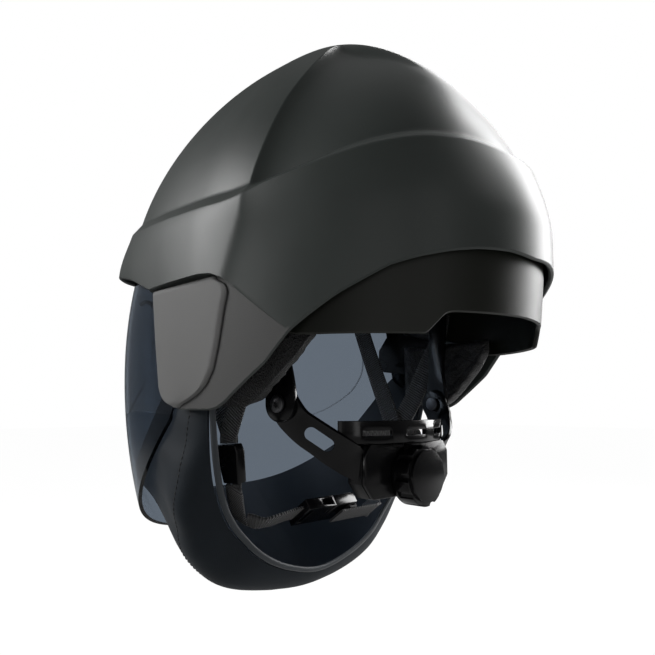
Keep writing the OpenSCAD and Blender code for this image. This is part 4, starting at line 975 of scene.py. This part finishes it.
for word, side in both_sides:
    rings, faces = blade(hanger_mid, hanger_wide, hanger_half, hanger_thick)
    hanger = add_piece("hanger_blade_" + word, rings * (side, 1, 1), turned(faces, side), "helmet",
                       nylon_gloss, 40)
    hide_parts("hanger_arm_" + word)
    rings, faces = blade(arm_mid, arm_wide, arm_half, arm_thick)
    arm = add_piece("nape_blade_" + word, rings * (side, 1, 1), turned(faces, side), "nape",
                    nylon_gloss, 40)
    cut_slot(arm, side)
    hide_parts("nape_arm_" + word)

# Sweatband: foam faced with soft cloth and wrapped on the front of the headband, where it
# rests on the brow. It is a flat strip with rounded edges that follows the band's oval.
sweat_finish = padding("sweatband_cloth", (0.02, 0.02, 0.022), 0.9, 420.0, 90.0, 0.4, 0.0004, 0.4)
sweat_turns = np.linspace(-96, 96, 121)
sweat_half, sweat_thick, sweat_level = 12.88, 1.55, 4.0
sweat_oval = (78.0, 98.0)
sweat_outline = [(-1, -0.55), (-0.93, -1), (-0.5, -1.12), (0, -1.16), (0.5, -1.12), (0.93, -1), (1, -0.55),
                 (1, 0.55), (0.93, 1), (0, 1), (-0.93, 1), (-1, 0.55)]


def oval(turns, half_x, half_y):
    """Points of the headband's level oval at some turns from the front."""
    r = 1 / np.sqrt((sin(turns) / half_x) ** 2 + (cos(turns) / half_y) ** 2)
    return np.stack([r * sin(turns), -r * cos(turns)], -1)


sweat_mid = oval(sweat_turns, *sweat_oval)
sweat_path = np.concatenate([sweat_mid, np.full((len(sweat_mid), 1), sweat_level)], 1)
sweat_edge = [(sweat_half * a * (1 - 0.06 * (1 - abs(b))), sweat_thick * b) for a, b in sweat_outline]
rings, faces = swept(sweat_path, (0, 0, 1), sweat_edge)
sweat = add_piece("sweatband_foam", rings, turned(faces), "helmet", sweat_finish, 60)
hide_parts("sweatband")

# Crown straps: two flat woven bands that cross over the head, from hook to hook, and carry
# the helmet's weight. One lies on the other where they cross.
web_outline = [(-1, -0.35), (-0.97, -0.5), (-0.5, -0.5), (0, -0.5), (0.5, -0.5), (0.97, -0.5), (1, -0.35)]
web_outline += [(-a, -b) for a, b in web_outline]
crown_wide, crown_thick = 20, 1.3
crown_oval, crown_high, crown_end = (77.0, 97.0), 80, 14


def webbing(name, path, across, wide, thick, material, node):
    """A flat woven strap on the helmet, along a path, that replaces a CAD node."""
    outline = [(a * wide / 2, b * thick) for a, b in web_outline]
    rings, faces = swept(path, across, outline)
    uv = np.broadcast_arrays(np.array(outline)[None, :, 0], run_along(path)[:, None])
    strap = add_piece(name, rings, faces, "helmet", material, 50, np.stack(uv, -1) * MM)
    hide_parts(node)


crown_web = woven("crown_webbing", (0.02, 0.02, 0.022), 0.8, 0.0011, 0.0016, 0.5, 0.00022, 0.1)


def crown_path(turn, grow):
    """A crown strap's middle line over the head, from one end's rise to the other's."""
    el = np.linspace(crown_end, 180 - crown_end, 90)
    reach = np.linalg.norm(oval(turn, *crown_oval))
    return polar(turn, el, 1 / np.sqrt((cos(el) / reach) ** 2 + (sin(el) / crown_high) ** 2) + grow)


for word, turn, grow in (("under", 42, 0.0), ("over", -42, 1.6)):
    webbing("crown_band_" + word, crown_path(turn, grow), (cos(turn), sin(turn), 0), crown_wide, crown_thick,
            crown_web, "crown_strap_" + word)

# Chin straps: ribbed black webbing 15 mm wide. Two fall from the inner shell on each side to a
# divider by the jaw, and one runs on under the chin to the buckle.
chin_web = woven("chin_webbing", (0.018, 0.0185, 0.020), 0.72, 0.0012, 0.0017, 1.0, 0.00035, 0.1, 0.35)
chin_wide, chin_thick, lower_wide = 15, 1.5, 13
front_path = [(76.3, -58.7, 12.5), (77.6, -58.8, 2), (79.4, -56, -12), (79.6, -52, -26), (79, -45, -44),
              (77.6, -34, -68), (76.4, -23.5, -90), (75.4, -16, -105), (74.8, -12.9, -112.5),
              (74.7, -12.7, -115.7)]
front_across = [(0.38, 0.85, 0.36), (0.38, 0.85, 0.36), (0.25, 0.87, 0.4), (0.1, 0.9, 0.42), (0, 0.9, 0.42),
                (0, 0.9, 0.42), (0, 0.92, 0.38), (0, 0.97, 0.25), (0, 1, 0), (0, 1, 0)]
rear_path = [(84.6, 27, -29), (83.5, 24, -44), (81.4, 14, -66), (79.5, 3.5, -88), (78, -6, -104),
             (77.3, -10.3, -112.5), (77.1, -10.6, -116.4)]
rear_across = [(-0.33, 0.86, -0.4), (-0.28, 0.88, -0.4), (-0.1, 0.9, -0.42), (0, 0.92, -0.38),
               (0, 0.97, -0.25), (0, 1, 0), (0, 1, 0)]
lower_path = [(71.3, -12.4, -139.8), (71, -12.6, -142.5), (63, -21, -154.5), (57, -26, -164)]
buckle_y, buckle_z, buckle_lean = -12.0, -162.0, 35.0
web_across = (0, cos(buckle_lean), sin(buckle_lean))
chin_across = [(0, 1, 0.3), (0, 1, 0.5)] + [web_across] * 4
chin_left = [(55.8, -20, -162.6), (50, -14.5, -164.8), (42, -12, -164), (34, -12, -163), (28, -12, -162.2),
             (22.6, -12, -162)]
loop_drop = 6.35
under_y, under_z = buckle_y + loop_drop * sin(buckle_lean), buckle_z - loop_drop * cos(buckle_lean)
chin_right = [(-55.8, -20, -162.9), (-50.5, -14, -165.4), (-47, -10.4, under_z - 0.2),
              (-44, under_y, under_z), (-36, under_y, under_z), (-8, under_y, under_z)]


def resampled(path, across):
    """A strap's path and its width directions at a step of about 2 mm."""
    both = smooth_path(np.concatenate([np.array(path, float), np.array(across, float) * 10], 1), 2.0)
    return both[:, :3], both[:, 3:] / 10


for word, side in both_sides:
    for name, path, across, wide in (("front", front_path, front_across, chin_wide),
                                     ("rear", rear_path, rear_across, chin_wide),
                                     ("lower", lower_path, [(0, 1, 0)] * 4, lower_wide)):
        fine_path, fine_across = resampled(path, across)
        webbing("webbing_%s_%s" % (name, word), fine_path * (side, 1, 1), fine_across * (side, 1, 1), wide,
                chin_thick, chin_web, "strap_%s_%s" % (name, word))
    fine_path, fine_across = resampled(chin_left if side > 0 else chin_right, chin_across)
    webbing("webbing_chin_" + word, fine_path, fine_across, chin_wide, chin_thick, chin_web,
            "chin_webbing_" + word)
eased_copy("tongue_loop", "tongue", chin_web, 0.5, 3)

# Ear pads: quilted black padding that closes each wing on the inside. Its shiny cover is
# creased where it is gathered into the wing.
pad_finish = padding("pad_cover", (0.008, 0.008, 0.009), 0.34, 1200.0, 45.0, 6.0, 0.0008, 0.1)
pad_rear = [(-96, 20), (-93.7, 29), (-86, 39), (-78, 48), (-70, 57), (-59, 66), (-50, 66)]
pad_front, pad_top, pad_foot = -14, -50, -95.5
pad_thin, pad_full, pad_quilt, pad_out = 1.4, 4.0, 1.8, 91.9
pad_rows, pad_cols = 40, 50
pad_z, pad_s = net(pad_rows, pad_cols, pad_top, pad_foot)
pad_y = mix(pad_front, read(pad_rear, pad_z, 2), pad_s)
pad_edge = ease(0, 0.12, pad_s) * ease(1, 0.97, pad_s)
pad_edge = pad_edge * ease(pad_top, pad_top - 3, pad_z) * ease(pad_foot, pad_foot + 3.5, pad_z)
quilt = np.abs(np.sin((pad_y * 0.8 + pad_z) * 0.17) * np.sin((pad_y * 0.8 - pad_z) * 0.17 + 0.6)) ** 0.4
crumple = 0.5 * np.sin(pad_y * 0.9 + 2.2 * np.sin(pad_z * 0.4))
crumple = crumple * np.sin(pad_z * 0.7 + np.sin(pad_y * 0.35) * 2)
pad_deep = pad_thin + pad_edge * (pad_full + pad_quilt * quilt + crumple)
pad_base = pad_out - wing_turn_in(pad_y) - 0.004 * np.maximum(0, pad_y - 50) ** 2
pad_outer = np.stack([pad_base, pad_y, pad_z], -1)
pad_inner = np.stack([pad_base - pad_deep, pad_y, pad_z], -1)
for word, side in both_sides:
    pad = add_piece("ear_padding_" + word, slab_points(pad_outer, pad_inner) * (side, 1, 1),
                    turned(slab_faces(pad_rows, pad_cols), side), "helmet", pad_finish, 60)
    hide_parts("ear_pad_" + word)

# Nape pad: a soft covered cushion in front of the ratchet housing, which keeps the housing
# off the neck. It is flat at the rear, and puffed and rounded at its edges.
nape_low, nape_high = (np.array(c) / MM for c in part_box("nape_pad"))
nape_mid, nape_half = (nape_low + nape_high) / 2, (nape_high - nape_low) / 2
nape_rows, nape_cols = 28, 44
nape_edge = 1.0
nape_t, nape_s = net(nape_rows, nape_cols, -1, 1)
nape_u = 2 * nape_s - 1
nape_puff = np.sqrt((1 - nape_t ** 6) * (1 - nape_u ** 6))
nape_x = nape_mid[0] + nape_half[0] * nape_u * np.sqrt(1 - 0.12 * nape_t ** 8)
nape_z = nape_mid[2] - nape_half[2] * nape_t * np.sqrt(1 - 0.12 * nape_u ** 8)
nape_back = np.stack([nape_x, nape_high[1] - 0.6 * (1 - nape_puff), nape_z], -1)
nape_depth = nape_edge + (2 * nape_half[1] - nape_edge) * nape_puff
nape_front = np.stack([nape_x, nape_high[1] - nape_depth, nape_z], -1)
nape_finish = padding("nape_cover", (0.014, 0.014, 0.015), 0.75, 700.0, 60.0, 1.0, 0.0004, 0.3)
nape = add_piece("nape_cushion", slab_points(nape_front, nape_back), slab_faces(nape_rows, nape_cols), "nape",
                 nape_finish, 60)
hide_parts("nape_pad")

# Studio: a pale floor well below the hanging helmet, a white surround, and soft lamps all
# round. The strongest, at the front left and over the right side, give the shell its broad
# highlights.
floor_mesh = bpy.data.meshes.new("studio_floor")
floor_half, floor_z = 6.0, -0.32
floor_corners = [(x * floor_half, y * floor_half, floor_z) for x, y in ((-1, -1), (1, -1), (1, 1), (-1, 1))]
floor_mesh.from_pydata(floor_corners, [], [(0, 1, 2, 3)])
floor = bpy.data.objects.new("studio_floor", floor_mesh)
bpy.context.collection.objects.link(floor)
floor_paint = bpy.data.materials.new("floor_white")
floor_paint.use_nodes = True
paint_tree = floor_paint.node_tree
paint = paint_tree.nodes["Principled BSDF"]
paint.inputs["Base Color"].default_value = (0.35, 0.35, 0.35, 1)
paint.inputs["Roughness"].default_value = 0.9
seen = new_node(paint_tree, "LightPath").outputs
either = worked(paint_tree, "MAXIMUM", seen["Is Camera Ray"], seen["Is Transmission Ray"])
glow = new_node(paint_tree, "Emission", {"Color": (1, 1, 1, 1), "Strength": 1.06})
join = new_node(paint_tree, "MixShader", {0: worked(paint_tree, "MULTIPLY", either, 0.93),
                                          1: paint.outputs["BSDF"], 2: glow.outputs["Emission"]})
paint_tree.links.new(join.outputs[0], paint_tree.nodes["Material Output"].inputs["Surface"])
floor_mesh.materials.append(floor_paint)

world = bpy.data.worlds.new("studio_surround")
bpy.context.scene.world = world
world.use_nodes = True
sky_tree = world.node_tree
sky = sky_tree.nodes["Background"]
sky.inputs["Color"].default_value = (1, 1, 1, 1)
rays = new_node(sky_tree, "LightPath").outputs
pure = worked(sky_tree, "MAXIMUM", rays["Is Camera Ray"], rays["Is Transmission Ray"])
gloss = worked(sky_tree, "MULTIPLY", rays["Is Glossy Ray"], 0.08)
shine = worked(sky_tree, "MAXIMUM", worked(sky_tree, "MAXIMUM", pure, gloss), 0.06)
sky_tree.links.new(shine, sky.inputs["Strength"])


def soft_lamp(name, place, aim, size, watts):
    """A rectangular lamp at a place, turned to its aim."""
    data = bpy.data.lights.new(name, "AREA")
    data.shape = "RECTANGLE"
    data.size, data.size_y = size
    data.energy = watts
    lamp = bpy.data.objects.new(name, data)
    lamp.location = place
    lamp.rotation_euler = (Vector(place) - Vector(aim)).to_track_quat("Z", "Y").to_euler()
    bpy.context.collection.objects.link(lamp)


soft_lamp("lamp_front_left", (1.1, -1.0, 0.65), (0, 0, 0), (0.7, 1.0), 20)
soft_lamp("lamp_right_rear", (-1.15, 0.36, 0.6), (0, 0, 0.02), (0.5, 1.5), 27)
soft_lamp("lamp_right_front", (-0.94, -0.42, 0.86), (0, 0, 0.05), (0.5, 0.5), 4)
soft_lamp("lamp_above", (-0.3, -0.2, 1.5), (0, 0, 0.05), (1.2, 0.9), 0.5)
soft_lamp("lamp_rear_right", (-0.55, 1.0, 0.8), (0, 0, 0.05), (0.5, 0.5), 1.0)
soft_lamp("lamp_rear_left", (1.0, 0.9, 0.1), (0, 0, -0.05), (0.8, 0.8), 1.2)
soft_lamp("lamp_rear_strip", (0.34, 1.2, 0.1), (0, 0, 0), (0.1, 1.3), 0.9)

bpy.context.scene.view_settings.view_transform = "Standard"
